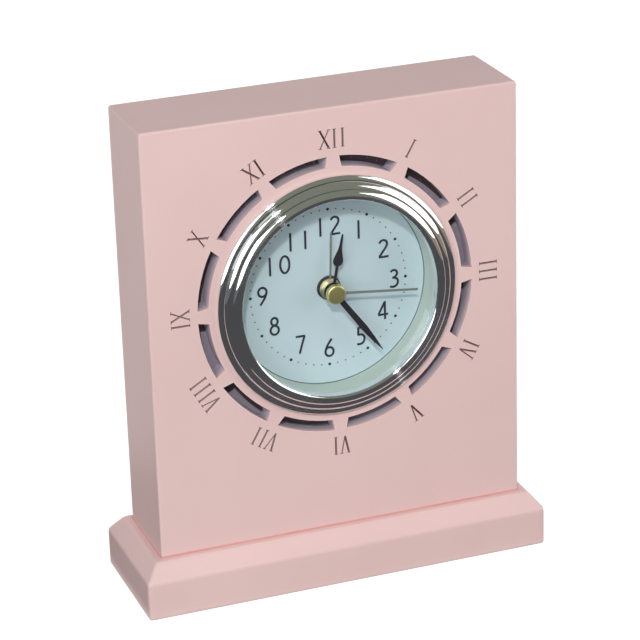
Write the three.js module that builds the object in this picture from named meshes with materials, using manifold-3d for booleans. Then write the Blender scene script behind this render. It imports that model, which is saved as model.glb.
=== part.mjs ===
// A painted wooden table clock. A slab case stands on a chamfered plinth. A ring of slots and carved Roman
// numerals surround a chrome-rimmed quartz alarm insert, which pulls out of the front of its bore.
// Millimetres, +Z up. The face looks along -Y, and the origin is the middle of the plinth's underside.
import * as THREE from "three";
import { mergeVertices } from "three/addons/utils/BufferGeometryUtils.js";
import Module from "manifold-3d";

const wasm = await Module();
wasm.setup();

// Clearances
const seatGap = 0.1; // between pieces that rest on each other
const pressGap = 0.05; // round what is pressed on or in
const runningGap = 0.09; // round a turning shaft
const slidingGap = 0.25; // round what is pushed in by hand

// Slab case: a front panel glued to a thicker block
const bodyWidth = 140;
const bodyHeight = 160;
const panelThickness = 7;
const blockThickness = 29.5;
const bodyEdge = 0.8; // softening of the outer edges
const bodyCorner = 1.1;
const dialRise = 90; // from the slab's foot to the middle of the dial

// Plinth
const plinthWidth = 155.5;
const plinthDepth = 51.5;
const plinthHeight = 20.5;
const chamferRise = 6.1;
const chamferRun = 4.9;
const plinthCorner = 1.2;
const plinthEdge = 0.9;

// Slab screws, driven up through the plinth
const slabScrewSpacing = 90;
const slabScrewRadius = 1.9;
const slabScrewHeadRadius = 3.8;
const slabScrewHeadHeight = 3;
const slabScrewLength = 38;
const slabScrewSink = 1;

// Ring of slots
const slotOuterRadius = 52.1;
const slotInnerRadius = 48.05;
const bridgeOuterWidth = 4.5; // the bridges between the slots widen inwards
const bridgeInnerWidth = 6.1;

// Carved Roman numerals
const numeralFoot = 55.1; // radius of the letters' feet
const letterHeight = 6.75;
const thickStroke = 0.8;
const thinStroke = 0.55;
const serifStroke = 0.34;
const serifReach = 0.75; // from the middle of a stroke to the end of its serif
const crossHalfWidth = 1.65; // of an X
const veeHalfWidth = 1.4; // of a V
const letterPitch = { I: 3.05, V: 4.1, X: 4.45 };

// Insert: bezel, glass, wall ring, dial and housing
const caseBoreRadius = 41;
const bezelRadius = 45;
const bezelEdgeHeight = 1.4; // heights of the bezel are above the wooden face
const grooveOneRadius = 43.05;
const grooveOneHeight = 2.1;
const grooveTwoRadius = 40.35;
const grooveTwoHeight = 3.8;
const crestRadius = 37.6;
const crestHeight = 4.9;
const bezelInnerRadius = 36.8;
const bezelLipHeight = 3.7;
const outerRibBulge = 0.17;
const middleRibBulge = 0.4;
const innerRibBulge = 0.35;
const lipBulge = 0.3;
const glassThickness = 1.5;
const dialDepth = 9; // of the dial's face behind the wooden face
const dialThickness = 0.6;
const wallRingInnerRadius = 37;
const wallRingThickness = 1;
const housingWall = 1.4;
const housingFloor = 1.5;
const housingDepth = 21; // of the skirt's back edge behind the wooden face
const flangeRadius = 43.4;
const flangeThickness = 0.8;
const gripRingWidth = 4;
const gripRingSink = 0.7; // of its groove in the housing
const gripRingDepth = 15; // of its front edge behind the wooden face

// Hands, each at its height above the dial
const handThickness = 0.35;
const bushRise = 0.9;
const bushRadius = 4.4;
const alarmHandRise = 1.25;
const hourHandRise = 4;
const minuteHandRise = 5.4;
const secondHandRise = 6.25;
const alarmHandLength = 21.2;
const alarmHandWidth = 0.55;
const alarmHubRadius = 3.9;
const alarmCollarRadius = 3.1;
const alarmCollarHeight = 1.8;
const hourHandLength = 21.4;
const hourStemWidth = 0.9;
const hourTipWidth = 0.5;
const dropBottom = 9.4; // radii of the hour hand's teardrop
const dropMiddle = 11.5;
const dropTop = 16.7;
const dropHalfWidth = 1.85;
const dropShoulderShare = 0.78; // of the half width, a third of the way up to the middle
const dropNeckShare = 0.7; // of the half width, a third of the way on to the top
const hourHubRadius = 3.3;
const minuteHandLength = 30.8;
const minuteRootWidth = 1.9;
const minuteWaist = 19; // radius where the minute hand is widest
const minuteWaistWidth = 2.4;
const minuteTipWidth = 0.25;
const minuteHubRadius = 3.1;
const secondHandLength = 32;
const secondHandWidth = 0.6;
const secondHubRadius = 1.5;
const capRadius = 3.6;
const capHeight = 2;
const capEdge = 0.7;
const hourAngle = 11.8; // degrees clockwise from twelve
const minuteAngle = 144;
const secondAngle = 96.4;
const alarmAngle = 2.5;

// Concentric shaft and pipes
const secondArborRadius = 0.5;
const pipeWall = 0.6;

// Movement case
const movementWidth = 56;
const movementCorner = 4;
const shellWall = 1.2;
const bayCorner = 1.5; // inside corners of the battery bay
const middlePlateThickness = 1;
const rearSpace = 7.2; // behind the middle plate
const postRadius = 1.6;
const postInset = 2.4; // from the shell's inside to the middle of a post
const earWidth = 8;
const earThickness = 1.5;
const earDepth = 3.2; // of the ear's front behind the housing's floor
const movementScrewRadius = 1;
const movementScrewHeadRadius = 2.2;
const movementScrewHeadHeight = 1.2;
const movementScrewLength = 4.4;
const movementScrewHeight = 32.5; // above and below the dial's middle
const bossWall = 1.5;
const earEnd = 3; // from the screw to the ear's tip

// Wheels
const wheelThickness = 0.8;
const wheelGap = 0.4; // between neighbouring wheels along their shafts
const pivotRadius = 0.5;
const pivotDepth = 0.8; // of the blind holes that the arbors' front ends turn in
const bearingRadius = 1.3; // of the bosses that carry the rear ends
const bearingHeight = 2;
const hubRadius = 3;
const cannonHubRadius = 1.7;
const centreHubRadius = 1.9;
const studCollarRadius = 1.1;
const toothTop = 0.75; // in modules above the pitch circle
const toothBottom = 1.15; // in modules below it
const wheelToothFoot = 0.3; // half a tooth's share of the pitch, at its foot: wheel teeth end in a point
const pinionToothFoot = 0.2;
const pinionToothTip = 0.11; // the same at the tip of a pinion's blunt tooth
const cannonTeeth = 10;
const motionTeeth = 30;
const motionModule = 0.45;
const motionPinionTeeth = 8;
const hourTeeth = 32;
const setPinionTeeth = 10;
const alarmTeeth = 36;
const alarmPinionTeeth = 14;
const alarmModule = 0.4;
const centreTeeth = 64;
const thirdPinionTeeth = 8;
const centreModule = 0.27;
const thirdTeeth = 60;
const secondPinionTeeth = 8;
const secondTeeth = 48;
const intermediatePinionTeeth = 8;
const secondModule = 0.33;
const intermediateTeeth = 40;
const rotorTeeth = 8;
const rotorModule = 0.3;
const motionDirection = 30; // degrees, from the right-hand side of the dial round to twelve
const setDirection = -40;
const alarmDirection = 205;
const thirdDirection = 135;
const intermediateDirection = 75;
const rotorDirection = 90;

// Setting knobs and alarm switch, on the back
const setArborRadius = 0.8;
const knobRadius = 5;
const knobHeight = 4;
const knobRibs = 18;
const knobRibDepth = 0.35;
const switchX = -19;
const switchY = 18;
const switchTravel = 3.5;
const switchKnobWidth = 3;
const switchKnobHeight = 2.2;
const switchKnobRise = 1.6; // out of the back
const switchPlateWidth = 8;
const switchPlateHeight = 5;
const switchPlateThickness = 1;
const railWidth = 1;
const railLip = 0.7;

// Motor, electronics and battery
const magnetRadius = 2.4;
const magnetLength = 1.5;
const statorThickness = 0.8;
const statorAirGap = 0.5; // round the magnet
const statorWeb = 0.9; // least width of the bar beside its bore
const statorArmWidth = 3.3;
const statorArmEnd = 0.8; // beyond the core
const coilRadius = 2.6;
const coilLength = 17;
const coilGap = 0.5; // between the coil and the stator
const coreHeight = 1.6;
const coreThickness = 1.2;
const boardWidth = 12.5;
const boardHeight = 30;
const boardClearance = 1; // above the partition
const boardThickness = 1;
const boardRise = 1.2; // behind the middle plate
const boardX = -19.3;
const upperSupportDrop = 10; // of the board's upper stud below its top edge
const lowerSupportRise = 2.4; // of its lower stud above its bottom edge
const supportRadius = 1.2; // of the studs under the board and the stator
const crystalRadius = 1;
const crystalLength = 6;
const crystalRight = 3.125; // of the board's middle
const crystalUp = 10;
const chipRadius = 3;
const chipHeight = 1;
const chipDown = 3; // of the board's middle
const buzzerRadius = 5;
const buzzerHeight = 4;
const buzzerX = 20.8;
const buzzerY = 10;
const buzzerRingWidth = 0.7;
const buzzerRingHeight = 2;
const batteryRadius = 7.1;
const batteryClearance = 0.3;
const batteryLength = 50.3;
const terminalRadius = 2.7;
const terminalLength = 1;
const partitionThickness = 1;
const contactWidth = 8;
const contactSpan = 10;
const contactThickness = 0.4;
const cradleWidth = 2;
const cradleSpacing = 24;
const cradleLength = 6;

// Facets round large, middling and small circles
const largeFacets = 48;
const middleFacets = 24;
const pipeFacets = 16;
const smallFacets = 12;

// Levels in the insert's own frame, where z is the height above the wooden face
const bodyDepth = panelThickness + blockThickness;
const dialFront = -dialDepth;
const dialBack = dialFront - dialThickness;
const floorFront = dialBack - seatGap;
const floorBack = floorFront - housingFloor;
const shellFront = floorBack - seatGap;
const shellInside = shellFront - shellWall;
const layerPitch = wheelThickness + wheelGap;
const frontLayers = 5;
const middlePlateFront = shellInside - frontLayers * layerPitch - wheelGap;
const middlePlateBack = middlePlateFront - middlePlateThickness;
const rearInside = middlePlateBack - rearSpace;
const rearFace = rearInside - shellWall;

// The front face of a wheel: layers 0 to 4 lie before the middle plate, and the rest behind it.
function layerFront(layer) {
  if (layer < frontLayers) return shellInside - wheelGap - layer * layerPitch;
  return middlePlateBack - wheelGap - (layer - frontLayers) * layerPitch;
}

function radians(degrees) {
  return THREE.MathUtils.degToRad(degrees);
}

function polar(distance, direction, from = new THREE.Vector2()) {
  const angle = radians(direction);
  return new THREE.Vector2(Math.cos(angle), Math.sin(angle)).multiplyScalar(distance).add(from);
}

// Solids and booleans
function solidOf(geometry) {
  const bare = geometry.index ? geometry.toNonIndexed() : geometry.clone();
  bare.deleteAttribute("normal");
  bare.deleteAttribute("uv");
  const merged = mergeVertices(bare, 1e-4);
  const corners = merged.index.array;
  const triangles = [];
  for (let i = 0; i < corners.length; i += 3) {
    const [a, b, c] = corners.slice(i, i + 3);
    if (a !== b && b !== c && c !== a) triangles.push(a, b, c);
  }
  const mesh = new wasm.Mesh({
    numProp: 3,
    vertProperties: merged.attributes.position.array,
    triVerts: new Uint32Array(triangles),
  });
  return new wasm.Manifold(mesh);
}

function geometryOf(solid) {
  const mesh = solid.getMesh();
  const geometry = new THREE.BufferGeometry();
  geometry.setAttribute("position", new THREE.BufferAttribute(new Float32Array(mesh.vertProperties), 3));
  geometry.setIndex(new THREE.BufferAttribute(new Uint32Array(mesh.triVerts), 1));
  geometry.computeVertexNormals();
  return geometry;
}

function join(...geometries) {
  return geometryOf(geometries.map(solidOf).reduce((sum, solid) => sum.add(solid)));
}

function cut(geometry, ...tools) {
  const joinedTools = tools.map(solidOf).reduce((sum, solid) => sum.add(solid));
  return geometryOf(solidOf(geometry).subtract(joinedTools));
}

function common(first, second) {
  return geometryOf(solidOf(first).intersect(solidOf(second)));
}

// Outlines
function circlePoints(radius, facets, x = 0, y = 0) {
  const points = [];
  for (let i = 0; i < facets; i++) {
    const angle = (2 * Math.PI * i) / facets;
    points.push(new THREE.Vector2(x + radius * Math.cos(angle), y + radius * Math.sin(angle)));
  }
  return points;
}

function rectanglePoints(width, height, x = 0, y = 0) {
  const corners = [
    [-1, -1],
    [1, -1],
    [1, 1],
    [-1, 1],
  ];
  return corners.map(([side, end]) => new THREE.Vector2(x + (side * width) / 2, y + (end * height) / 2));
}

function roundedPoints(width, height, radius, steps = 3, x = 0, y = 0) {
  const points = [];
  const corners = [
    [1, 1],
    [-1, 1],
    [-1, -1],
    [1, -1],
  ];
  corners.forEach(([side, end], corner) => {
    const centreX = x + side * (width / 2 - radius);
    const centreY = y + end * (height / 2 - radius);
    for (let i = 0; i <= steps; i++) {
      const angle = ((corner + i / steps) * Math.PI) / 2;
      points.push(new THREE.Vector2(centreX + radius * Math.cos(angle), centreY + radius * Math.sin(angle)));
    }
  });
  return points;
}

// A gear with teeth drawn from [height in modules from the pitch circle, share of the pitch] points
function gearPoints(teeth, module, toothOutline) {
  const points = [];
  const pitchRadius = (module * teeth) / 2;
  for (let tooth = 0; tooth < teeth; tooth++) {
    for (const [height, share] of toothOutline) {
      const radius = pitchRadius + height * module;
      const angle = ((tooth + share) * 2 * Math.PI) / teeth;
      points.push(new THREE.Vector2(radius * Math.cos(angle), radius * Math.sin(angle)));
    }
  }
  return points;
}

// A plate between two levels, with holes right through it
function plate(outline, back, front, ...holes) {
  const shape = new THREE.Shape(outline);
  shape.holes = holes.map((points) => new THREE.Path(points));
  const geometry = new THREE.ExtrudeGeometry(shape, { depth: front - back, bevelEnabled: false });
  return geometry.translate(0, 0, back);
}

function disc(radius, back, front, facets = middleFacets, x = 0, y = 0) {
  return plate(circlePoints(radius, facets, x, y), back, front);
}

function tube(outerRadius, innerRadius, back, front, facets = middleFacets, x = 0, y = 0) {
  return plate(circlePoints(outerRadius, facets, x, y), back, front, circlePoints(innerRadius, facets, x, y));
}

// A solid turned about z from [radius, height] points that run anticlockwise round its section
function turned(profile, facets = largeFacets) {
  const points = profile.map(([radius, height]) => new THREE.Vector2(radius, height));
  const onAxis = points[0].x === 0;
  if (!onAxis) points.push(points[0].clone());
  return new THREE.LatheGeometry(points, facets).rotateX(Math.PI / 2);
}

// Points of an arc between two points of a section walked anticlockwise, bowed outwards by a given rise
function bulge(from, to, rise, steps) {
  const start = new THREE.Vector2(...from);
  const end = new THREE.Vector2(...to);
  const middle = start.clone().add(end).divideScalar(2);
  const along = end.clone().sub(start).normalize();
  const out = new THREE.Vector2(along.y, -along.x);
  const halfLength = start.distanceTo(end) / 2;
  const radius = (halfLength ** 2 + rise ** 2) / (2 * rise);
  const halfAngle = Math.asin(halfLength / radius);
  const points = [];
  for (let i = 0; i <= steps; i++) {
    const angle = halfAngle * ((2 * i) / steps - 1);
    const point = middle.clone().addScaledVector(along, radius * Math.sin(angle));
    point.addScaledVector(out, radius * (Math.cos(angle) - Math.cos(halfAngle)));
    points.push(point.toArray());
  }
  return points;
}

// Replaces each inner corner of a line of points with a short curve
function softened(points, reach, steps = 2) {
  const result = [points[0]];
  for (let i = 1; i < points.length - 1; i++) {
    const corner = new THREE.Vector2(...points[i]);
    const towards = (other) => {
      const away = new THREE.Vector2(...other).sub(corner).normalize();
      return corner.clone().addScaledVector(away, reach);
    };
    const curve = new THREE.QuadraticBezierCurve(towards(points[i - 1]), corner, towards(points[i + 1]));
    result.push(...curve.getPoints(steps).map((point) => point.toArray()));
  }
  result.push(points[points.length - 1]);
  return result;
}

// Joins a stack of outlines with the same number of points into one closed solid
function loft(rings) {
  const positions = [];
  const indices = [];
  const count = rings[0].points.length;
  for (const { points, height } of rings) {
    for (const point of points) positions.push(point.x, point.y, height);
  }
  for (let ring = 0; ring < rings.length - 1; ring++) {
    for (let i = 0; i < count; i++) {
      const a = ring * count + i;
      const b = ring * count + ((i + 1) % count);
      indices.push(a, b, b + count, a, b + count, a + count);
    }
  }
  const topStart = (rings.length - 1) * count;
  for (let i = 1; i < count - 1; i++) {
    indices.push(0, i + 1, i);
    indices.push(topStart, topStart + i, topStart + i + 1);
  }
  const geometry = new THREE.BufferGeometry();
  geometry.setAttribute("position", new THREE.Float32BufferAttribute(positions, 3));
  geometry.setIndex(indices);
  return geometry;
}

// The scene graph: the clock stands on its plinth, and the front group's z points out of the face.
const clock = new THREE.Group();
const front = new THREE.Group();
front.position.set(0, -bodyDepth / 2, plinthHeight + dialRise);
front.rotation.x = Math.PI / 2;
clock.add(front);

const finishes = {
  pinkPaint: { color: 0xdcbdb9, roughness: 0.45, metalness: 0 },
  chrome: { color: 0xd8dadc, roughness: 0.1, metalness: 1 },
  glass: { color: 0xe8f4f2, roughness: 0.02, metalness: 0, transparent: true, opacity: 0.2 },
  whitePlastic: { color: 0xd5ded3, roughness: 0.45, metalness: 0 },
  dialPaper: { color: 0xd3e2e4, roughness: 0.6, metalness: 0 },
  blackPlastic: { color: 0x1c1c1f, roughness: 0.5, metalness: 0 },
  greyPlastic: { color: 0x6d6f72, roughness: 0.5, metalness: 0 },
  blackPaint: { color: 0x201c22, roughness: 0.4, metalness: 0 },
  greyMetal: { color: 0x7d7f80, roughness: 0.35, metalness: 1 },
  brass: { color: 0xb5a04a, roughness: 0.25, metalness: 1 },
  copper: { color: 0xa8542a, roughness: 0.4, metalness: 1 },
  steel: { color: 0x9a9ca0, roughness: 0.35, metalness: 1 },
  rubber: { color: 0x2a2a2a, roughness: 0.9, metalness: 0 },
  wheelPlastic: { color: 0xe6e2d2, roughness: 0.5, metalness: 0 },
  circuit: { color: 0x2f5d3a, roughness: 0.6, metalness: 0 },
  cell: { color: 0x3b4a5c, roughness: 0.35, metalness: 0.3 },
};

function add(parent, name, geometry, finish, x = 0, y = 0, turn = 0) {
  const mesh = new THREE.Mesh(geometry, new THREE.MeshStandardMaterial(finishes[finish]));
  mesh.name = name;
  mesh.position.set(x, y, 0);
  mesh.rotation.z = turn;
  parent.add(mesh);
}

// Slab case
const dialToTop = bodyHeight - dialRise;
const slabMiddle = (dialToTop - dialRise) / 2;

function slabOutline() {
  const rounded = roundedPoints(bodyWidth, bodyHeight, bodyCorner, 3, 0, slabMiddle);
  const foot = rectanglePoints(bodyWidth, bodyHeight, 0, slabMiddle).slice(0, 2);
  return [...foot, ...rounded.filter((point) => point.y > 0)];
}

function slab() {
  const shape = new THREE.Shape(slabOutline());
  const geometry = new THREE.ExtrudeGeometry(shape, {
    depth: bodyDepth - 2 * bodyEdge,
    bevelThickness: bodyEdge,
    bevelSize: bodyEdge,
    bevelOffset: -bodyEdge,
    bevelSegments: 3,
  });
  return geometry.translate(0, 0, bodyEdge - bodyDepth);
}

function slicedSlab(back, frontLevel) {
  const margin = 5;
  const slice = rectanglePoints(bodyWidth + 2 * margin, bodyHeight + 2 * margin, 0, slabMiddle);
  return common(slab(), plate(slice, back, frontLevel));
}

// One slot, from the bridge at an hour to the bridge at the next
function slotPoints(hour) {
  const steps = 6;
  const arc = (radius, bridgeWidth) => {
    const edge = Math.asin(bridgeWidth / 2 / radius);
    const start = radians(30 * hour) + edge;
    const sweep = radians(30) - 2 * edge;
    const points = [];
    for (let i = 0; i <= steps; i++) {
      const angle = start + (sweep * i) / steps;
      points.push(new THREE.Vector2(radius * Math.cos(angle), radius * Math.sin(angle)));
    }
    return points;
  };
  return [...arc(slotOuterRadius, bridgeOuterWidth), ...arc(slotInnerRadius, bridgeInnerWidth).reverse()];
}

// A V-shaped groove whose ends run out to points, as a carving bit leaves it
function groove(from, to, width) {
  const above = 0.2;
  const depth = width / 2;
  const along = to.clone().sub(from).normalize();
  const across = new THREE.Vector2(-along.y, along.x);
  const reach = width / 2 + above;
  const corner = (end, way, side) =>
    end.clone().addScaledVector(along, way * above).addScaledVector(across, side * reach);
  const top = [corner(from, -1, -1), corner(to, 1, -1), corner(to, 1, 1), corner(from, -1, 1)];
  const ridge = [from.clone().addScaledVector(along, depth), to.clone().addScaledVector(along, -depth)];
  const positions = [];
  for (const point of top) positions.push(point.x, point.y, above);
  for (const point of ridge) positions.push(point.x, point.y, -depth);
  const geometry = new THREE.BufferGeometry();
  geometry.setAttribute("position", new THREE.Float32BufferAttribute(positions, 3));
  geometry.setIndex([0, 1, 2, 0, 2, 3, 0, 4, 5, 0, 5, 1, 2, 5, 4, 2, 4, 3, 1, 5, 2, 3, 4, 0]);
  return geometry;
}

// The strokes of a letter: from and to as [across, share of the height], then the width
function letterStrokes(letter) {
  const serif = (across, height) => {
    return [[across - serifReach, height], [across + serifReach, height], serifStroke];
  };
  if (letter === "I") return [[[0, 0], [0, 1], thickStroke], serif(0, 0), serif(0, 1)];
  if (letter === "V") {
    return [
      [[-veeHalfWidth, 1], [0, 0], thickStroke],
      [[veeHalfWidth, 1], [0, 0], thinStroke],
      serif(-veeHalfWidth, 1),
      serif(veeHalfWidth, 1),
    ];
  }
  const strokes = [
    [[-crossHalfWidth, 1], [crossHalfWidth, 0], thickStroke],
    [[crossHalfWidth, 1], [-crossHalfWidth, 0], thinStroke],
  ];
  for (const height of [0, 1]) {
    for (const side of [-1, 1]) strokes.push(serif(side * crossHalfWidth, height));
  }
  return strokes;
}

function numeralGrooves(numeral, hour) {
  const letters = [...numeral];
  const width = letters.reduce((sum, letter) => sum + letterPitch[letter], 0);
  const outward = polar(1, 90 - 30 * hour);
  const across = new THREE.Vector2(outward.y, -outward.x);
  const grooves = [];
  let left = -width / 2;
  for (const letter of letters) {
    const middle = left + letterPitch[letter] / 2;
    const place = ([sideways, height]) =>
      outward
        .clone()
        .multiplyScalar(numeralFoot + height * letterHeight)
        .addScaledVector(across, middle + sideways);
    for (const [from, to, stroke] of letterStrokes(letter)) {
      grooves.push(groove(place(from), place(to), stroke));
    }
    left += letterPitch[letter];
  }
  return grooves;
}

const numerals = ["XII", "I", "II", "III", "IV", "V", "VI", "VII", "VIII", "IX", "X", "XI"];
const cutThrough = 1; // how far a cutter runs past the faces that it cuts
const panelCutters = [disc(caseBoreRadius, -panelThickness - cutThrough, cutThrough, largeFacets)];
for (let hour = 0; hour < numerals.length; hour++) {
  panelCutters.push(plate(slotPoints(hour), -panelThickness - cutThrough, cutThrough));
  panelCutters.push(...numeralGrooves(numerals[hour], hour));
}
add(front, "front_panel", cut(slicedSlab(-panelThickness, cutThrough), ...panelCutters), "pinkPaint");

function slabScrewPlaces() {
  return [-slabScrewSpacing / 2, slabScrewSpacing / 2];
}

// The screw holes run up from the block's foot. This frame's y is up.
function slabScrewHole(x) {
  const reach = slabScrewSink + slabScrewLength - plinthHeight + cutThrough;
  const hole = new THREE.CylinderGeometry(
    slabScrewRadius + pressGap,
    slabScrewRadius + pressGap,
    reach + cutThrough,
    smallFacets,
  );
  return hole.translate(x, -dialRise + (reach - cutThrough) / 2, -bodyDepth / 2);
}

const blockCutters = [
  disc(caseBoreRadius, -bodyDepth - cutThrough, cutThrough, largeFacets),
  ...slabScrewPlaces().map(slabScrewHole),
];
const wholeBlock = slicedSlab(-bodyDepth - cutThrough, -panelThickness);
add(front, "case_block", cut(wholeBlock, ...blockCutters), "pinkPaint");

// Plinth: upright sides, then a chamfer up to a narrow ledge round the slab
function plinth() {
  const section = [
    [plinthEdge, 0],
    [0, 0],
    [0, plinthHeight - chamferRise],
    [chamferRun, plinthHeight],
    [chamferRun + 2 * plinthEdge, plinthHeight],
  ];
  const rings = softened(section, plinthEdge).map(([inset, height]) => ({
    points: roundedPoints(plinthWidth - 2 * inset, plinthDepth - 2 * inset, plinthCorner, 2),
    height,
  }));
  return loft(rings);
}

function slabScrew(clearance, foot) {
  const shank = slabScrewRadius + clearance;
  const head = slabScrewHeadRadius + clearance;
  const rim = slabScrewSink + slabScrewHeadHeight / 3;
  const neck = slabScrewSink + slabScrewHeadHeight;
  const tip = slabScrewSink + slabScrewLength;
  return turned([[0, foot], [head, foot], [head, rim], [shank, neck], [shank, tip], [0, tip]], smallFacets);
}

const plinthCutters = slabScrewPlaces().map((x) => slabScrew(pressGap, -cutThrough).translate(x, 0, 0));
add(clock, "base_plinth", cut(plinth(), ...plinthCutters), "pinkPaint");
slabScrewPlaces().forEach((x, i) => {
  add(clock, `base_screw_${i + 1}`, slabScrew(0, slabScrewSink), "steel", x);
});

// Insert: bezel, glass, wall ring, dial and the cup that holds them
const wallRingRadius = wallRingInnerRadius + wallRingThickness;
const housingInnerRadius = wallRingRadius + 2 * seatGap;
const housingRadius = housingInnerRadius + housingWall;
const glassRadius = wallRingRadius - 2 * seatGap;
const bezelBack = seatGap;
const flangeFront = bezelBack + flangeThickness;
const gripRingFront = -gripRingDepth;
const gripRingBack = gripRingFront - gripRingWidth;
const gripGrooveRadius = housingRadius - gripRingSink;
const bushHole = bushRadius + seatGap;

function bezel() {
  const edge = [bezelRadius, bezelEdgeHeight];
  const grooveOne = [grooveOneRadius, grooveOneHeight];
  const grooveTwo = [grooveTwoRadius, grooveTwoHeight];
  const crest = [crestRadius, crestHeight];
  const lip = [bezelInnerRadius, bezelLipHeight];
  const recessRadius = flangeRadius + 2 * seatGap;
  const recessFront = flangeFront + seatGap;
  const shoulderRadius = glassRadius + 2 * seatGap;
  const shoulderFront = glassThickness + seatGap;
  return turned([
    [bezelRadius, bezelBack],
    ...bulge(edge, grooveOne, outerRibBulge, 3),
    ...bulge(grooveOne, grooveTwo, middleRibBulge, 4).slice(1),
    ...bulge(grooveTwo, crest, innerRibBulge, 4).slice(1),
    ...bulge(crest, lip, lipBulge, 3).slice(1),
    [bezelInnerRadius, shoulderFront],
    [shoulderRadius, shoulderFront],
    [shoulderRadius, recessFront],
    [recessRadius, recessFront],
    [recessRadius, bezelBack],
  ]);
}

function housing() {
  const cup = turned([
    [bushHole, floorBack],
    [housingInnerRadius, floorBack],
    [housingInnerRadius, -housingDepth],
    [housingRadius, -housingDepth],
    [housingRadius, gripRingBack],
    [gripGrooveRadius, gripRingBack],
    [gripGrooveRadius, gripRingFront],
    [housingRadius, gripRingFront],
    [housingRadius, bezelBack],
    [flangeRadius, bezelBack],
    [flangeRadius, flangeFront],
    [housingInnerRadius, flangeFront],
    [housingInnerRadius, floorFront],
    [bushHole, floorFront],
  ]);
  const bossFront = floorFront - housingFloor / 2;
  const bosses = movementScrewPlaces().map((y) =>
    disc(movementScrewRadius + bossWall, earFront + seatGap, bossFront, smallFacets, 0, y),
  );
  const holes = movementScrewPlaces().map((y) =>
    disc(movementScrewRadius + pressGap, earFront - cutThrough, floorBack, smallFacets, 0, y),
  );
  return cut(join(cup, ...bosses), ...holes);
}

// The movement hangs behind the housing's floor by two ears.
const earFront = floorBack - earDepth;
const earBack = earFront - earThickness;
const screwHeadFront = earBack - seatGap;
const screwHeadBack = screwHeadFront - movementScrewHeadHeight;

function movementScrewPlaces() {
  return [movementScrewHeight, -movementScrewHeight];
}

function movementScrew() {
  const tip = screwHeadFront + movementScrewLength;
  return turned(
    [
      [0, screwHeadBack],
      [movementScrewHeadRadius, screwHeadBack],
      [movementScrewHeadRadius, screwHeadFront],
      [movementScrewRadius, screwHeadFront],
      [movementScrewRadius, tip],
      [0, tip],
    ],
    smallFacets,
  );
}

const wallRing = tube(wallRingRadius, wallRingInnerRadius, dialFront + seatGap, -seatGap, largeFacets);
const dialHole = circlePoints(bushHole, middleFacets);
add(front, "bezel", bezel(), "chrome");
add(front, "lens", disc(glassRadius, 0, glassThickness, largeFacets), "glass");
add(front, "dial_ring", wallRing, "whitePlastic");
const dialDisc = plate(circlePoints(wallRingRadius, largeFacets), dialBack, dialFront, dialHole);
add(front, "dial", dialDisc, "dialPaper");
add(front, "housing", housing(), "blackPlastic");
movementScrewPlaces().forEach((y, i) => {
  add(front, `movement_screw_${i + 1}`, movementScrew(), "steel", 0, y);
});
const gripRing = tube(
  caseBoreRadius - slidingGap,
  gripGrooveRadius + pressGap,
  gripRingBack + seatGap,
  gripRingFront - seatGap,
  largeFacets,
);
add(front, "grip_ring", gripRing, "rubber");

// Concentric pipes, from the middle outwards: minute, hour, alarm and the fixed bush
const minutePipeBore = secondArborRadius + runningGap;
const minutePipeRadius = minutePipeBore + pipeWall;
const hourPipeBore = minutePipeRadius + runningGap;
const hourPipeRadius = hourPipeBore + pipeWall;
const alarmPipeBore = hourPipeRadius + runningGap;
const alarmPipeRadius = alarmPipeBore + pipeWall;
const bushBore = alarmPipeRadius + runningGap;
const bushStemRadius = (bushBore + bushRadius) / 2;

// Levels of the hands
const alarmHandBack = dialFront + alarmHandRise;
const alarmCollarFront = alarmHandBack + handThickness + alarmCollarHeight;
const hourHandFront = dialFront + hourHandRise + handThickness;
const minuteHandFront = dialFront + minuteHandRise + handThickness;
const secondHandFront = dialFront + secondHandRise + handThickness;
const capBack = secondHandFront + seatGap;
const capHole = capHeight / 2;

// A tapering blade that points to twelve, from [half width, distance] points up its right-hand side
function bladePoints(rightSide) {
  const right = rightSide.map(([halfWidth, distance]) => new THREE.Vector2(halfWidth, distance));
  const left = right.map((point) => new THREE.Vector2(-point.x, point.y)).reverse();
  return [...right, ...left];
}

function hand(blade, hub, hole, rise) {
  const back = dialFront + rise;
  const face = back + handThickness;
  const body = join(disc(hub, back, face), plate(bladePoints(blade), back, face));
  return cut(body, disc(hole + pressGap, back - cutThrough, face + cutThrough, pipeFacets));
}

// A teardrop on a thin stem, drawn out to a fine tip
function hourBlade() {
  const stem = hourStemWidth / 2;
  const drop = new THREE.SplineCurve([
    new THREE.Vector2(stem, dropBottom),
    new THREE.Vector2(dropHalfWidth * dropShoulderShare, (dropBottom * 2 + dropMiddle) / 3),
    new THREE.Vector2(dropHalfWidth, dropMiddle),
    new THREE.Vector2(dropHalfWidth * dropNeckShare, (dropMiddle * 2 + dropTop) / 3),
    new THREE.Vector2(stem, dropTop),
  ]);
  const sides = drop.getPoints(14).map((point) => point.toArray());
  return [[stem, 0], ...sides, [hourTipWidth / 2, hourHandLength]];
}

const minuteBlade = [
  [minuteRootWidth / 2, 0],
  [minuteWaistWidth / 2, minuteWaist],
  [minuteTipWidth / 2, minuteHandLength],
];
const secondBlade = [[secondHandWidth / 2, 0], [secondHandWidth / 2, secondHandLength]];
const alarmBlade = [[alarmHandWidth / 2, 0], [alarmHandWidth / 2, alarmHandLength]];

function alarmHand() {
  const collarBack = alarmHandBack + handThickness / 2;
  const collarBore = alarmPipeRadius + pressGap;
  const collar = tube(alarmCollarRadius, collarBore, collarBack, alarmCollarFront, pipeFacets);
  return join(hand(alarmBlade, alarmHubRadius, alarmPipeRadius, alarmHandRise), collar);
}

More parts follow.
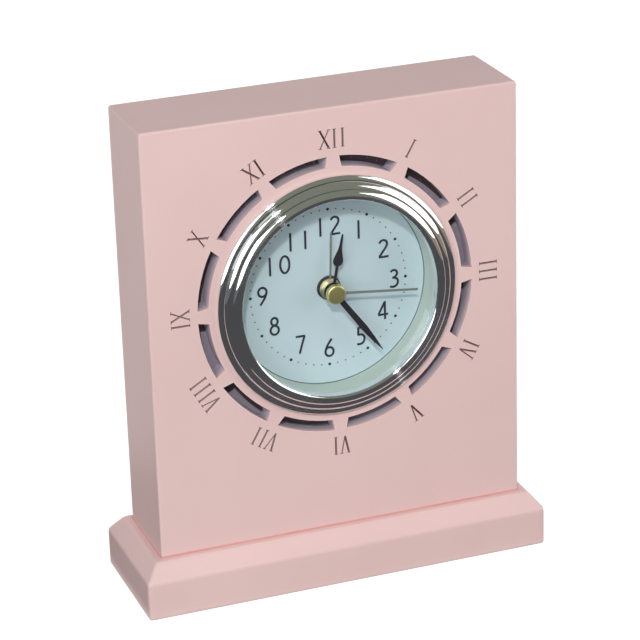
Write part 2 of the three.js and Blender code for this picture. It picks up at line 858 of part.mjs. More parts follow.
function handCap() {
  const holeRadius = secondArborRadius + pressGap;
  const capFront = capBack + capHeight;
  const outside = softened([[capRadius, capBack], [capRadius, capFront], [0, capFront]], capEdge, 4);
  const inside = [[0, capBack + capHole], [holeRadius, capBack + capHole], [holeRadius, capBack]];
  return turned([...inside, ...outside], middleFacets);
}

function addHand(name, geometry, finish, angle) {
  add(front, name, geometry, finish, 0, 0, -radians(angle));
}

const hourHand = hand(hourBlade(), hourHubRadius, hourPipeRadius, hourHandRise);
const minuteHand = hand(minuteBlade, minuteHubRadius, minutePipeRadius, minuteHandRise);
const secondHand = hand(secondBlade, secondHubRadius, secondArborRadius, secondHandRise);
addHand("hour_hand", hourHand, "blackPaint", hourAngle);
addHand("minute_hand", minuteHand, "blackPaint", minuteAngle);
addHand("second_hand", secondHand, "greyMetal", secondAngle);
addHand("second_hand_cap", handCap(), "brass", secondAngle);
addHand("alarm_hand", alarmHand(), "greyMetal", alarmAngle);

function bush() {
  const bushFront = dialFront + bushRise;
  const collarBack = shellFront + seatGap;
  return turned(
    [
      [bushBore, shellInside],
      [bushStemRadius, shellInside],
      [bushStemRadius, collarBack],
      [bushRadius, collarBack],
      [bushRadius, bushFront],
      [bushBore, bushFront],
    ],
    middleFacets,
  );
}

add(front, "centre_bush", bush(), "blackPlastic");

// Where the arbors stand, round the middle of the dial
const motionDistance = (motionModule * (cannonTeeth + motionTeeth)) / 2;
const setDistance = (motionModule * (motionTeeth + setPinionTeeth)) / 2;
const hourModule = (2 * motionDistance) / (motionPinionTeeth + hourTeeth);
const alarmDistance = (alarmModule * (alarmTeeth + alarmPinionTeeth)) / 2;
const thirdDistance = (centreModule * (centreTeeth + thirdPinionTeeth)) / 2;
const thirdModule = (2 * thirdDistance) / (thirdTeeth + secondPinionTeeth);
const intermediateDistance = (secondModule * (secondTeeth + intermediatePinionTeeth)) / 2;
const rotorDistance = (rotorModule * (intermediateTeeth + rotorTeeth)) / 2;
const motionAxis = polar(motionDistance, motionDirection);
const setAxis = polar(setDistance, setDirection, motionAxis);
const alarmAxis = polar(alarmDistance, alarmDirection);
const thirdAxis = polar(thirdDistance, thirdDirection);
const intermediateAxis = polar(intermediateDistance, intermediateDirection);
const rotorAxis = polar(rotorDistance, rotorDirection, intermediateAxis);

// Ends of the arbors
const frontPivotTip = shellInside + pivotDepth - 2 * seatGap;
const rearPivotTip = rearInside + 4 * seatGap;

// Battery bay: the lower part of the movement case, shut off by a partition and open behind
const roomHalf = movementWidth / 2 - shellWall;
const batteryY = -roomHalf + batteryRadius + batteryClearance;
const batteryZ = rearFace + batteryRadius + batteryClearance;
const bayTop = batteryY + batteryRadius + batteryClearance;
const roomBottom = bayTop + partitionThickness;

function roomPoints(clearance = 0) {
  const height = roomHalf - roomBottom - 2 * clearance;
  const width = 2 * (roomHalf - clearance);
  return roundedPoints(width, height, movementCorner - shellWall, 3, 0, (roomHalf + roomBottom) / 2);
}

function bayPoints() {
  const height = roomHalf + bayTop;
  return roundedPoints(2 * roomHalf, height, bayCorner, 2, 0, (bayTop - roomHalf) / 2);
}

function caseOutline() {
  return roundedPoints(movementWidth, movementWidth, movementCorner);
}

// A hole for something that turns, at an axis of the movement
function bearingHole(axis, radius, back, face) {
  return disc(radius + runningGap, back, face, pipeFacets, axis.x, axis.y);
}

const middleAxis = new THREE.Vector2();
const rearBearings = [middleAxis, intermediateAxis, rotorAxis];
const boardTop = roomBottom + boardClearance + boardHeight;
const boardY = boardTop - boardHeight / 2;
const boardFront = middlePlateBack - boardRise;
const boardBack = boardFront - boardThickness;
const boardSupports = [
  new THREE.Vector2(boardX, boardTop - upperSupportDrop),
  new THREE.Vector2(boardX, boardTop - boardHeight + lowerSupportRise),
];

// The motor lies behind the two rear wheels: stator, then the core that bridges its arms.
const statorFront = layerFront(frontLayers + 2);
const statorBack = statorFront - statorThickness;
const coreFront = statorBack - seatGap;
const coreBack = coreFront - coreThickness;
const statorBoreRadius = magnetRadius + statorAirGap;
const statorBarHeight = 2 * (statorBoreRadius + statorWeb);
const statorWidth = coilLength + 2 * (statorArmWidth + coilGap);
const coilY = rotorAxis.y + statorBarHeight / 2 + coilGap + coilRadius;
const coilZ = (coreFront + coreBack) / 2;
const armTop = coilY + coreHeight / 2 + statorArmEnd;
const armMiddle = (statorWidth - statorArmWidth) / 2;
const motorSupports = [-1, 1].map((side) => new THREE.Vector2(rotorAxis.x + side * armMiddle, coilY));

function post(place, radius, back, face) {
  return disc(radius, back, face, smallFacets, place.x, place.y);
}

function movementFront() {
  const shell = cut(
    plate(caseOutline(), middlePlateBack, shellFront),
    plate(roomPoints(), middlePlateBack - cutThrough, shellInside),
    plate(bayPoints(), middlePlateBack - cutThrough, shellInside),
  );
  const embedded = shellInside + shellWall / 2;
  const postReach = roomHalf - postInset;
  const posts = [-1, 1].flatMap((side) =>
    [postReach, roomBottom + postInset].map((y) =>
      post(new THREE.Vector2(side * postReach, y), postRadius, middlePlateFront + seatGap, embedded),
    ),
  );
  const stud = post(motionAxis, pivotRadius, layerFront(2) - wheelThickness, embedded);
  const studCollar = post(motionAxis, studCollarRadius, layerFront(1) + seatGap, embedded);
  const cradles = [-1, 1].map((side) =>
    plate(
      rectanglePoints(cradleWidth, cradleLength, (side * cradleSpacing) / 2, batteryY),
      batteryZ + batteryRadius + seatGap,
      embedded,
    ),
  );
  const earTip = movementScrewHeight + earEnd;
  const ears = [-1, 1].map((end) => {
    const length = earTip - roomHalf - shellWall / 2;
    return plate(rectanglePoints(earWidth, length, 0, end * (earTip - length / 2)), earBack, earFront);
  });
  const pivotTop = shellInside + pivotDepth;
  const pivotFoot = shellInside - cutThrough;
  const holes = [
    disc(bushStemRadius + pressGap, pivotFoot, shellFront + cutThrough, middleFacets),
    bearingHole(thirdAxis, pivotRadius, pivotFoot, pivotTop),
    bearingHole(setAxis, setArborRadius, pivotFoot, pivotTop),
    bearingHole(alarmAxis, setArborRadius, pivotFoot, pivotTop),
    ...movementScrewPlaces().map((y) =>
      disc(movementScrewRadius + slidingGap, earBack - cutThrough, earFront + cutThrough, smallFacets, 0, y),
    ),
  ];
  return cut(join(shell, ...posts, stud, studCollar, ...cradles, ...ears), ...holes);
}

function middlePlate() {
  const body = plate(roomPoints(seatGap), middlePlateBack, middlePlateFront);
  const embedded = middlePlateBack + middlePlateThickness / 2;
  const studs = [
    ...boardSupports.map((place) => post(place, supportRadius, boardFront + seatGap, embedded)),
    ...motorSupports.map((place) => post(place, supportRadius, statorFront + seatGap, embedded)),
  ];
  const back = middlePlateBack - cutThrough;
  const face = middlePlateFront + cutThrough;
  const holes = [middleAxis, thirdAxis, intermediateAxis, rotorAxis].map((axis) =>
    bearingHole(axis, pivotRadius, back, face),
  );
  for (const axis of [setAxis, alarmAxis]) holes.push(bearingHole(axis, setArborRadius, back, face));
  return cut(join(body, ...studs), ...holes);
}

// The alarm switch: a plate behind the wall, held by two lipped rails, with a knob through a slot
const switchMiddle = switchX + switchTravel / 2;
const switchPlateBack = rearInside + seatGap;
const switchPlateFront = switchPlateBack + switchPlateThickness;

function switchRails(embedded) {
  const length = switchPlateWidth + switchTravel;
  const inner = switchPlateHeight / 2 + seatGap;
  const lipBack = switchPlateFront + seatGap;
  return [-1, 1].flatMap((side) => {
    const strip = (from, to, back) => {
      const middle = switchY + (side * (from + to)) / 2;
      return plate(rectanglePoints(length, to - from, switchMiddle, middle), back, lipBack + railLip);
    };
    return [strip(inner, inner + railWidth, embedded), strip(inner - railLip, inner + railWidth, lipBack)];
  });
}

function movementRear() {
  const face = middlePlateBack - seatGap;
  const shell = cut(
    plate(caseOutline(), rearFace, face),
    plate(roomPoints(), rearInside, face + cutThrough),
    plate(bayPoints(), rearFace - cutThrough, face + cutThrough),
  );
  const embedded = rearInside - shellWall / 2;
  const bearingFront = rearInside + bearingHeight;
  const bearings = rearBearings.map((axis) => post(axis, bearingRadius, embedded, bearingFront));
  const supports = [
    ...boardSupports.map((place) => post(place, supportRadius, embedded, boardBack - seatGap)),
    ...motorSupports.map((place) => post(place, supportRadius, embedded, coreBack - seatGap)),
  ];
  const ringBore = buzzerRadius + slidingGap;
  const ring = tube(
    ringBore + buzzerRingWidth,
    ringBore,
    embedded,
    rearInside + buzzerRingHeight,
    middleFacets,
    buzzerX,
    buzzerY,
  );
  const slotWidth = switchKnobWidth + switchTravel + 2 * slidingGap;
  const slotHeight = switchKnobHeight + 2 * slidingGap;
  const back = rearFace - cutThrough;
  const holes = [
    ...rearBearings.map((axis) => bearingHole(axis, pivotRadius, rearPivotTip - 2 * seatGap, face)),
    ...[setAxis, alarmAxis].map((axis) => bearingHole(axis, setArborRadius, back, rearInside + cutThrough)),
    plate(rectanglePoints(slotWidth, slotHeight, switchMiddle, switchY), back, rearInside + seatGap / 2),
  ];
  return cut(join(shell, ...bearings, ...supports, ring, ...switchRails(embedded)), ...holes);
}

add(front, "movement_front", movementFront(), "greyPlastic");
add(front, "middle_plate", middlePlate(), "greyPlastic");
add(front, "movement_rear", movementRear(), "greyPlastic");

// The turn of a gear whose teeth fit those of another that stands in a given direction from it
function meshTurn(turn, teeth, direction, otherTeeth) {
  const phase = ((radians(direction) - turn) * teeth) / (2 * Math.PI);
  return radians(direction) + Math.PI - ((0.5 - phase) * 2 * Math.PI) / otherTeeth;
}

const wheelTooth = [
  [-toothBottom, -wheelToothFoot],
  [toothTop, 0],
  [-toothBottom, wheelToothFoot],
];
const pinionTooth = [
  [-toothBottom, -pinionToothFoot],
  [toothTop, -pinionToothTip],
  [toothTop, pinionToothTip],
  [-toothBottom, pinionToothFoot],
];

function wheel(layer, teeth, module, turn = 0) {
  const face = layerFront(layer);
  return plate(gearPoints(teeth, module, wheelTooth), face - wheelThickness, face).rotateZ(turn);
}

function pinion(layer, teeth, module, turn = 0) {
  const face = layerFront(layer);
  return plate(gearPoints(teeth, module, pinionTooth), face - wheelThickness, face).rotateZ(turn);
}

// A round piece from the middle of one wheel's thickness to a level before it
function hub(layer, radius, face, facets = pipeFacets) {
  return disc(radius, layerFront(layer) - wheelThickness / 2, face, facets);
}

function neighbourBack(layer) {
  return layerFront(layer) + wheelGap - seatGap;
}

function boredPipe(geometry, bore) {
  return cut(geometry, disc(bore, rearFace, glassThickness, pipeFacets));
}

const motionTurn = meshTurn(0, cannonTeeth, motionDirection, motionTeeth);
const hourTurn = meshTurn(0, motionPinionTeeth, motionDirection + 180, hourTeeth);
const setTurn = meshTurn(motionTurn, motionTeeth, setDirection, setPinionTeeth);
const alarmSetTurn = meshTurn(0, alarmTeeth, alarmDirection, alarmPinionTeeth);
const thirdPinionTurn = meshTurn(0, centreTeeth, thirdDirection, thirdPinionTeeth);
const secondPinionTurn = meshTurn(0, thirdTeeth, thirdDirection + 180, secondPinionTeeth);
const intermediatePinionTurn = meshTurn(0, secondTeeth, intermediateDirection, intermediatePinionTeeth);
const rotorTurn = meshTurn(0, intermediateTeeth, rotorDirection, rotorTeeth);

const alarmWheel = join(
  wheel(0, alarmTeeth, alarmModule),
  hub(0, hubRadius, neighbourBack(0)),
  hub(0, alarmPipeRadius, alarmCollarFront),
);
const hourWheel = join(
  wheel(1, hourTeeth, hourModule, hourTurn),
  hub(1, hubRadius, neighbourBack(1)),
  hub(1, hourPipeRadius, hourHandFront),
);
const cannonPinion = join(
  pinion(2, cannonTeeth, motionModule),
  hub(2, cannonHubRadius, neighbourBack(2)),
  disc(minutePipeRadius, layerFront(3) - wheelThickness, minuteHandFront, pipeFacets),
);
const motionWheel = join(
  wheel(2, motionTeeth, motionModule, motionTurn),
  pinion(1, motionPinionTeeth, hourModule),
  disc(studCollarRadius, layerFront(2) - wheelThickness / 2, layerFront(1) - wheelThickness / 2, pipeFacets),
);
const centreWheel = join(wheel(3, centreTeeth, centreModule), hub(3, centreHubRadius, neighbourBack(3)));
add(front, "alarm_wheel", boredPipe(alarmWheel, alarmPipeBore), "wheelPlastic");
add(front, "hour_wheel", boredPipe(hourWheel, hourPipeBore), "wheelPlastic");
add(front, "cannon_pinion", boredPipe(cannonPinion, minutePipeBore), "brass");
const boredMotionWheel = boredPipe(motionWheel, pivotRadius + runningGap);
add(front, "motion_wheel", boredMotionWheel, "wheelPlastic", motionAxis.x, motionAxis.y);
add(front, "centre_wheel", boredPipe(centreWheel, hourPipeBore), "wheelPlastic");

const thirdWheel = join(
  disc(pivotRadius, middlePlateBack + 2 * seatGap, frontPivotTip, smallFacets),
  pinion(3, thirdPinionTeeth, centreModule, thirdPinionTurn),
  wheel(4, thirdTeeth, thirdModule),
);
const secondWheel = join(
  disc(secondArborRadius, rearPivotTip, capBack + capHole - seatGap, smallFacets),
  pinion(4, secondPinionTeeth, thirdModule, secondPinionTurn),
  wheel(5, secondTeeth, secondModule),
  hub(5, hubRadius, neighbourBack(5)),
);
const intermediateWheel = join(
  disc(pivotRadius, rearPivotTip, middlePlateFront - 2 * seatGap, smallFacets),
  pinion(5, intermediatePinionTeeth, secondModule, intermediatePinionTurn),
  wheel(6, intermediateTeeth, rotorModule),
);
const rotor = join(
  disc(pivotRadius, rearPivotTip, middlePlateFront - 2 * seatGap, smallFacets),
  pinion(6, rotorTeeth, rotorModule, rotorTurn),
  disc(magnetRadius, statorFront - magnetLength, statorFront, pipeFacets),
);
add(front, "third_wheel", thirdWheel, "wheelPlastic", thirdAxis.x, thirdAxis.y);
add(front, "second_wheel", secondWheel, "wheelPlastic");
add(front, "intermediate_wheel", intermediateWheel, "wheelPlastic", intermediateAxis.x, intermediateAxis.y);
add(front, "rotor", rotor, "steel", rotorAxis.x, rotorAxis.y);

// Setting arbors, with their knobs pressed on behind the case
const knobFront = rearFace - seatGap;
const knobBack = knobFront - knobHeight;
const knobHoleBack = knobFront - (knobHeight * 2) / 3;

function ribbedPoints(radius, ribs, depth) {
  const points = [];
  for (let i = 0; i < 2 * ribs; i++) {
    points.push(polar(i % 2 ? radius - depth : radius, (180 * i) / ribs));
  }
  return points;
}

function setKnob() {
  const body = plate(ribbedPoints(knobRadius, knobRibs, knobRibDepth), knobBack, knobFront);
  return cut(body, disc(setArborRadius + pressGap, knobHoleBack, knobFront + cutThrough, pipeFacets));
}

function setArbor(pinionGear) {
  return join(disc(setArborRadius, knobHoleBack + seatGap, frontPivotTip, pipeFacets), pinionGear);
}

const timeSetArbor = setArbor(pinion(2, setPinionTeeth, motionModule, setTurn));
const alarmSetArbor = setArbor(pinion(0, alarmPinionTeeth, alarmModule, alarmSetTurn));
add(front, "time_set_arbor", timeSetArbor, "brass", setAxis.x, setAxis.y);
add(front, "time_set_knob", setKnob(), "blackPlastic", setAxis.x, setAxis.y);
add(front, "alarm_set_arbor", alarmSetArbor, "brass", alarmAxis.x, alarmAxis.y);
add(front, "alarm_set_knob", setKnob(), "blackPlastic", alarmAxis.x, alarmAxis.y);

function alarmSwitch() {
  const sliderOutline = rectanglePoints(switchPlateWidth, switchPlateHeight);
  const slider = plate(sliderOutline, switchPlateBack, switchPlateFront);
  const knob = plate(
    rectanglePoints(switchKnobWidth, switchKnobHeight),
    rearFace - switchKnobRise,
    switchPlateBack + switchPlateThickness / 2,
  );
  return join(slider, knob);
}

add(front, "alarm_switch", alarmSwitch(), "blackPlastic", switchX, switchY);

// Motor and electronics
function statorPoints() {
  const barFoot = -statorBarHeight / 2;
  const barTop = statorBarHeight / 2;
  const armEnd = armTop - rotorAxis.y;
  const outer = statorWidth / 2;
  const inner = outer - statorArmWidth;
  const rightSide = [
    [outer, barFoot],
    [outer, armEnd],
    [inner, armEnd],
    [inner, barTop],
  ];
  return bladePoints(rightSide);
}

const statorBore = circlePoints(statorBoreRadius, pipeFacets);
const statorPlate = plate(statorPoints(), statorBack, statorFront, statorBore);
const core = plate(rectanglePoints(statorWidth, coreHeight), coreBack, coreFront);
const windowInCoil = rectanglePoints(coreThickness + 2 * pressGap, coreHeight + 2 * pressGap);
const coil = plate(circlePoints(coilRadius, middleFacets), -coilLength / 2, coilLength / 2, windowInCoil);
coil.rotateY(Math.PI / 2).translate(0, 0, coilZ);
add(front, "stator", statorPlate, "steel", rotorAxis.x, rotorAxis.y);
add(front, "coil_core", core, "steel", rotorAxis.x, coilY);
add(front, "coil", coil, "copper", rotorAxis.x, coilY);

const crystal = plate(circlePoints(crystalRadius, smallFacets), -crystalLength / 2, crystalLength / 2);
crystal.rotateX(Math.PI / 2).translate(0, 0, boardBack - seatGap - crystalRadius);
const chipBack = boardBack - seatGap - chipHeight;
const crystalX = boardX + crystalRight;
const crystalY = boardY + crystalUp;
const chipY = boardY - chipDown;
const board = plate(rectanglePoints(boardWidth, boardHeight), boardBack, boardFront);
add(front, "circuit_board", board, "circuit", boardX, boardY);
add(front, "chip", disc(chipRadius, chipBack, chipBack + chipHeight), "blackPlastic", boardX, chipY);
add(front, "quartz_crystal", crystal, "steel", crystalX, crystalY);
const buzzerBack = rearInside + seatGap;
add(front, "buzzer", disc(buzzerRadius, buzzerBack, buzzerBack + buzzerHeight), "brass", buzzerX, buzzerY);

// Battery, lying across, between two sprung contacts
const batteryHalf = (batteryLength + terminalLength) / 2;

function battery() {
  const shoulder = batteryHalf - terminalLength;
  const body = turned(
    [
      [0, -batteryHalf],
      [batteryRadius, -batteryHalf],
      [batteryRadius, shoulder],
      [terminalRadius, shoulder],
      [terminalRadius, batteryHalf],
      [0, batteryHalf],
    ],
    middleFacets,
  );
  return body.rotateY(Math.PI / 2).translate(0, 0, batteryZ);
}

// A strip against the end wall of the bay, bowed towards the battery
function contact(side) {
  const wall = roomHalf - seatGap;
  const bow = wall - contactThickness - batteryHalf - pressGap;
  const curve = new THREE.QuadraticBezierCurve(
    new THREE.Vector2(wall, -contactSpan / 2),
    new THREE.Vector2(wall - 2 * bow, 0),
    new THREE.Vector2(wall, contactSpan / 2),
  );
  const outer = curve.getPoints(8);
  const inner = outer.map((point) => new THREE.Vector2(point.x - contactThickness, point.y)).reverse();
  const strip = plate([...outer, ...inner], -contactWidth / 2, contactWidth / 2);
  strip.rotateX(Math.PI / 2);
  if (side < 0) strip.rotateZ(Math.PI);
  return strip.translate(0, 0, batteryZ);
}

add(front, "battery", battery(), "cell", 0, batteryY);
add(front, "contact_plus", contact(1), "steel", 0, batteryY);
add(front, "contact_minus", contact(-1), "steel", 0, batteryY);

export default clock;
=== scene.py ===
# %% [markdown]
# A small wooden table clock, painted satin pink. A slab stands on a chamfered plinth, and a ring of slots
# and carved Roman numerals surrounds a chrome-rimmed clock insert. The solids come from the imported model,
# which this lesson loads as a fixed frame and then dresses: smoother turned parts, printed figures, and a
# material for every surface.

# %% Load the frame
import math

import bmesh
import bpy
from mathutils import Matrix, Vector


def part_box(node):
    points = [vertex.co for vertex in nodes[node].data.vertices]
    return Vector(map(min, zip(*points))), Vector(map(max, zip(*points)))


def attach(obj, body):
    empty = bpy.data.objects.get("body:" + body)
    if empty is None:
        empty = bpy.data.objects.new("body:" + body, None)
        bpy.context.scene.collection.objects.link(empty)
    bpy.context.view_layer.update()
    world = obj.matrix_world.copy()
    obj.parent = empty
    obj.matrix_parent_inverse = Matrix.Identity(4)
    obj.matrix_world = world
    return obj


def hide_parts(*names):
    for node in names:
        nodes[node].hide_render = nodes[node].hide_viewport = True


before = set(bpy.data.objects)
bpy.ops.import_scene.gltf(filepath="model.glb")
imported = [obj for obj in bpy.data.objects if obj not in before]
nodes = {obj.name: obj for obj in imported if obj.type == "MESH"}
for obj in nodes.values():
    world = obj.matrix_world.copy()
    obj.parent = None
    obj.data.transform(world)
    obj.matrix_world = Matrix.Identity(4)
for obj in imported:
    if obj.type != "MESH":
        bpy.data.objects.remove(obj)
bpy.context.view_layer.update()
print("pieces in the frame:", len(nodes))

# %% [markdown]
# The camera stands a metre away, a little to the left and above, with a long lens, so that the slab's sides
# stay almost parallel. It is placed by its azimuth, elevation and distance from a point on the slab. A
# slight roll follows the photograph, whose horizon isn't quite level.

# %% Camera
CAMERA_AZIMUTH = math.radians(-19.85)
CAMERA_ELEVATION = math.radians(21.93)
CAMERA_ROLL = math.radians(-1.81)
CAMERA_DISTANCE = 1.0361
CAMERA_TARGET_RIGHT = -0.00014
CAMERA_TARGET_UP = 0.0875
LENS = 155.0
SENSOR_WIDTH = 36.0


def camera_axes():
    """Right, up and back directions of a camera that looks at the clock's front, before its roll."""
    back = Vector(
        (
            math.sin(CAMERA_AZIMUTH) * math.cos(CAMERA_ELEVATION),
            -math.cos(CAMERA_AZIMUTH) * math.cos(CAMERA_ELEVATION),
            math.sin(CAMERA_ELEVATION),
        )
    )
    right = Vector((0, 0, 1)).cross(back).normalized()
    return right, back.cross(right), back


def add_camera():
    right, up, back = camera_axes()
    place = right * CAMERA_TARGET_RIGHT + up * CAMERA_TARGET_UP + back * CAMERA_DISTANCE
    turned_right = right * math.cos(CAMERA_ROLL) + up * math.sin(CAMERA_ROLL)
    turned_up = up * math.cos(CAMERA_ROLL) - right * math.sin(CAMERA_ROLL)
    facing = Matrix((turned_right, turned_up, back)).transposed()
    data = bpy.data.cameras.new("camera")
    data.lens = LENS
    data.sensor_width = SENSOR_WIDTH
    camera = bpy.data.objects.new("camera", data)
    camera.matrix_world = Matrix.Translation(place) @ facing.to_4x4()
    bpy.context.scene.collection.objects.link(camera)
    bpy.context.scene.camera = camera
    return camera


camera = add_camera()
print("camera at", [round(v, 3) for v in camera.location])

# %% [markdown]
# The insert's pieces are easiest to draw in the insert's own frame: x to the right, y up, and z out of the
# face, in millimetres from the middle of the dial. One matrix carries that frame to the clock's face. Its
# place is read from the solids, so the drawn pieces can't drift from them.

# %% The face's own frame
MM = 0.001
panel_low, panel_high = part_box("front_panel")
bezel_low, bezel_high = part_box("bezel")
FACE_Y = panel_low.y
DIAL_X = (bezel_low.x + bezel_high.x) / 2
DIAL_Z = (bezel_low.z + bezel_high.z) / 2
PANEL_DEPTH = panel_high.y - FACE_Y
TO_FACE = Matrix.Translation((DIAL_X, FACE_Y, DIAL_Z)) @ Matrix.Rotation(math.pi / 2, 4, "X")


def node_levels(node):
    """Lowest and highest z of a node in the face's frame, in millimetres."""
    low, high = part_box(node)
    return (FACE_Y - high.y) / MM, (FACE_Y - low.y) / MM


print("dial's middle in millimetres:", round(DIAL_X / MM, 2), round(DIAL_Z / MM, 2))

# %% [markdown]
# Two small builders make nearly everything. `turned` spins a section about the dial's axis, as a lathe
# does, for the rim, the rings, the dial, the hub and the cap. `raise_outline` lifts a flat outline into a
# thin plate, as a press stamps hands. `finish_piece` shades the result smoothly, keeps the edges that are
# meant to be crisp, and ties the piece to its body. Primitives would be quicker, but they have no sections
# to draw a rib or a soft edge with.

# %% Builders
SHARP_ANGLE = math.radians(32)
WELD = 1e-5
SAME_PLACE = 1e-6
RIM_FACETS = 256
RING_FACETS = 160
HUB_FACETS = 96


def finish_piece(bm, name, body, replaced=(), matrix=TO_FACE, sharp=SHARP_ANGLE):
    """Turns a bmesh drawn in millimetres into a piece that rides on a body and stands for some nodes."""
    bmesh.ops.remove_doubles(bm, verts=bm.verts, dist=WELD)
    bmesh.ops.recalc_face_normals(bm, faces=bm.faces)
    mesh = bpy.data.meshes.new(name)
    bmesh.ops.scale(bm, vec=(MM, MM, MM), verts=bm.verts)
    bm.to_mesh(mesh)
    bm.free()
    mesh.shade_smooth()
    mesh.set_sharp_from_angle(angle=sharp)
    piece = bpy.data.objects.new(name, mesh)
    piece.matrix_world = matrix
    bpy.context.scene.collection.objects.link(piece)
    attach(piece, body)
    if replaced:
        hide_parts(*replaced)
    return piece


def spin_section(bm, section, facets):
    """Adds a section of (radius, z) points turned about the dial's axis; an open section ends on it."""
    on_axis = section[0][0] == 0
    rings = []
    for radius, height in section:
        if radius == 0:
            rings.append([bm.verts.new((0, 0, height))])
            continue
        ring = []
        for i in range(facets):
            angle = 2 * math.pi * i / facets
            ring.append(bm.verts.new((radius * math.cos(angle), radius * math.sin(angle), height)))
        rings.append(ring)
    pairs = list(zip(rings, rings[1:]))
    if not on_axis:
        pairs.append((rings[-1], rings[0]))
    for first, second in pairs:
        for i in range(facets):
            j = (i + 1) % facets
            a, b = first[i % len(first)], first[j % len(first)]
            c, d = second[j % len(second)], second[i % len(second)]
            corners = [a, b, c, d]
            unique = [v for k, v in enumerate(corners) if v not in corners[:k]]
            if len(unique) > 2:
                bm.faces.new(unique)


def turned(name, section, body, replaced=(), facets=RING_FACETS):
    bm = bmesh.new()
    spin_section(bm, section, facets)
    return finish_piece(bm, name, body, replaced)


def raise_outline(bm, points, low, high):
    """Adds a flat plate between two levels from an outline of (x, y) points."""
    lower = [bm.verts.new((px, py, low)) for px, py in points]
    upper = [bm.verts.new((px, py, high)) for px, py in points]
    bm.faces.new(list(reversed(lower)))
    bm.faces.new(upper)
    for i in range(len(points)):
        j = (i + 1) % len(points)
        bm.faces.new((lower[i], lower[j], upper[j], upper[i]))


def arc(centre_x, centre_y, radius_x, radius_y, start, end, steps):
    """Points of an elliptical arc, from a start angle to an end angle in degrees."""
    points = []
    for i in range(steps + 1):
        angle = math.radians(start + (end - start) * i / steps)
        points.append((centre_x + radius_x * math.cos(angle), centre_y + radius_y * math.sin(angle)))
    return points


def bowed(start, end, rise, steps):
    """Points of a shallow arc between two section points, which bows out to the right of the way there."""
    start, end = Vector(start), Vector(end)
    length = (end - start).length
    along = (end - start) / length
    out = Vector((along.y, -along.x))
    radius = (length * length / 4 + rise * rise) / (2 * rise)
    half = math.asin(length / 2 / radius)
    points = []
    for i in range(steps + 1):
        angle = half * (2 * i / steps - 1)
        across = length / 2 + radius * math.sin(angle)
        lift = radius * (math.cos(angle) - math.cos(half))
        points.append(tuple(start + along * across + out * lift))
    return points


def rounded_corner(before, corner, after, reach, steps=5):
    """Points of a small curve that takes the place of a corner of a section."""
    corner = Vector(corner)
    start = corner + (Vector(before) - corner).normalized() * reach
    end = corner + (Vector(after) - corner).normalized() * reach
    points = []
    for i in range(steps + 1):
        t = i / steps
        point = start * (1 - t) ** 2 + corner * (2 * t * (1 - t)) + end * t**2
        points.append(tuple(point))
    return points


print("a quarter circle in three steps:", [tuple(round(v, 2) for v in p) for p in arc(0, 0, 1, 1, 0, 90, 3)])

# %% [markdown]
# The chrome rim is pressed from thin metal: a short upright edge, three gently bowed ribs that step up
# towards the glass, and a lip that rolls down to it. The ribs are nearly flat with narrow valleys between
# them, so each one shows a long bright stripe with a thin dark line beside it. The radii and heights repeat
# the solid's own, and many more steps make the bows smooth enough for a mirror.

# %% Chrome rim
RIM_EDGE = (45.0, 1.4)
VALLEY_ONE = (43.05, 2.1)
VALLEY_TWO = (40.35, 3.8)
CREST = (37.6, 4.9)
LIP = (36.8, 3.7)
LIP_FOOT = 1.6
FLANGE_RECESS = (43.6, 1.0)
GLASS_RECESS = 38.2
OUTER_BOW, MIDDLE_BOW, INNER_BOW, LIP_BOW = 0.17, 0.4, 0.35, 0.3
rim_back, rim_front = node_levels("bezel")


def rim_section():
    section = [(RIM_EDGE[0], rim_back)]
    section += bowed(RIM_EDGE, VALLEY_ONE, OUTER_BOW, 10)
    section += bowed(VALLEY_ONE, VALLEY_TWO, MIDDLE_BOW, 14)[1:]
    section += bowed(VALLEY_TWO, CREST, INNER_BOW, 14)[1:]
    section += bowed(CREST, LIP, LIP_BOW, 12)[1:]
    section += [(LIP[0], LIP_FOOT), (GLASS_RECESS, LIP_FOOT), (GLASS_RECESS, FLANGE_RECESS[1])]
    section += [FLANGE_RECESS, (FLANGE_RECESS[0], rim_back)]
    return section


rim = turned("rim", rim_section(), "insert", ["bezel"], RIM_FACETS)
print("rim stands", round(rim_front, 2), "mm proud of the wood")

# %% [markdown]
# Under the rim lie a flat glass, a pale ring that forms the well's wall, and the dial. The ring starts just
# in front of the dial and ends just behind the glass. Its front edge is softened, because a moulded ring
# has no sharp edge. All three are turned, and their levels are read from the solids that they stand for.

# %% Glass, well and dial
GLASS_RADIUS = 37.8
WELL_RADIUS = 37.0
WELL_OUTER = 38.0
WELL_EDGE = 0.35
DIAL_HOLE = 4.5
glass_back, glass_front = node_levels("lens")
well_back, well_front = node_levels("dial_ring")
dial_back, dial_front = node_levels("dial")


def ring_section(inner, outer, back, front):
    return [(inner, back), (outer, back), (outer, front), (inner, front)]


turned("glass", ring_section(0, GLASS_RADIUS, glass_back, glass_front), "insert", ["lens"])
well_section = ring_section(WELL_RADIUS, WELL_OUTER, well_back, well_front)
well_section[3:] = rounded_corner(well_section[2], well_section[3], well_section[0], WELL_EDGE)
turned("well_ring", well_section, "insert", ["dial_ring"])
dial_section = ring_section(DIAL_HOLE, WELL_OUTER, dial_back, dial_front)
turned("dial_card", dial_section, "insert", ["dial"])
print("dial lies", round(-dial_front, 2), "mm behind the face")

# %% [markdown]
# The dial is printed with plain figures and a ring of dots. A font would bring its own shapes, so each
# figure is drawn by pen strokes: a few guide points, a smooth curve through them, and a ribbon of constant
# width along the curve. Ink is thin but real here, so it shows in any renderer. Strokes that cross lie on
# slightly different levels, so that no two faces share a plane. The figures stand upright, and the ring of
# dots is turned a hair.

# %% Figures on the dial
FIGURE_HEIGHT = 7.0
STROKE = 0.84
INK = 0.04
INK_STEP = 0.004
INK_LEVELS = 4
PRINT_EDGE = math.radians(60)


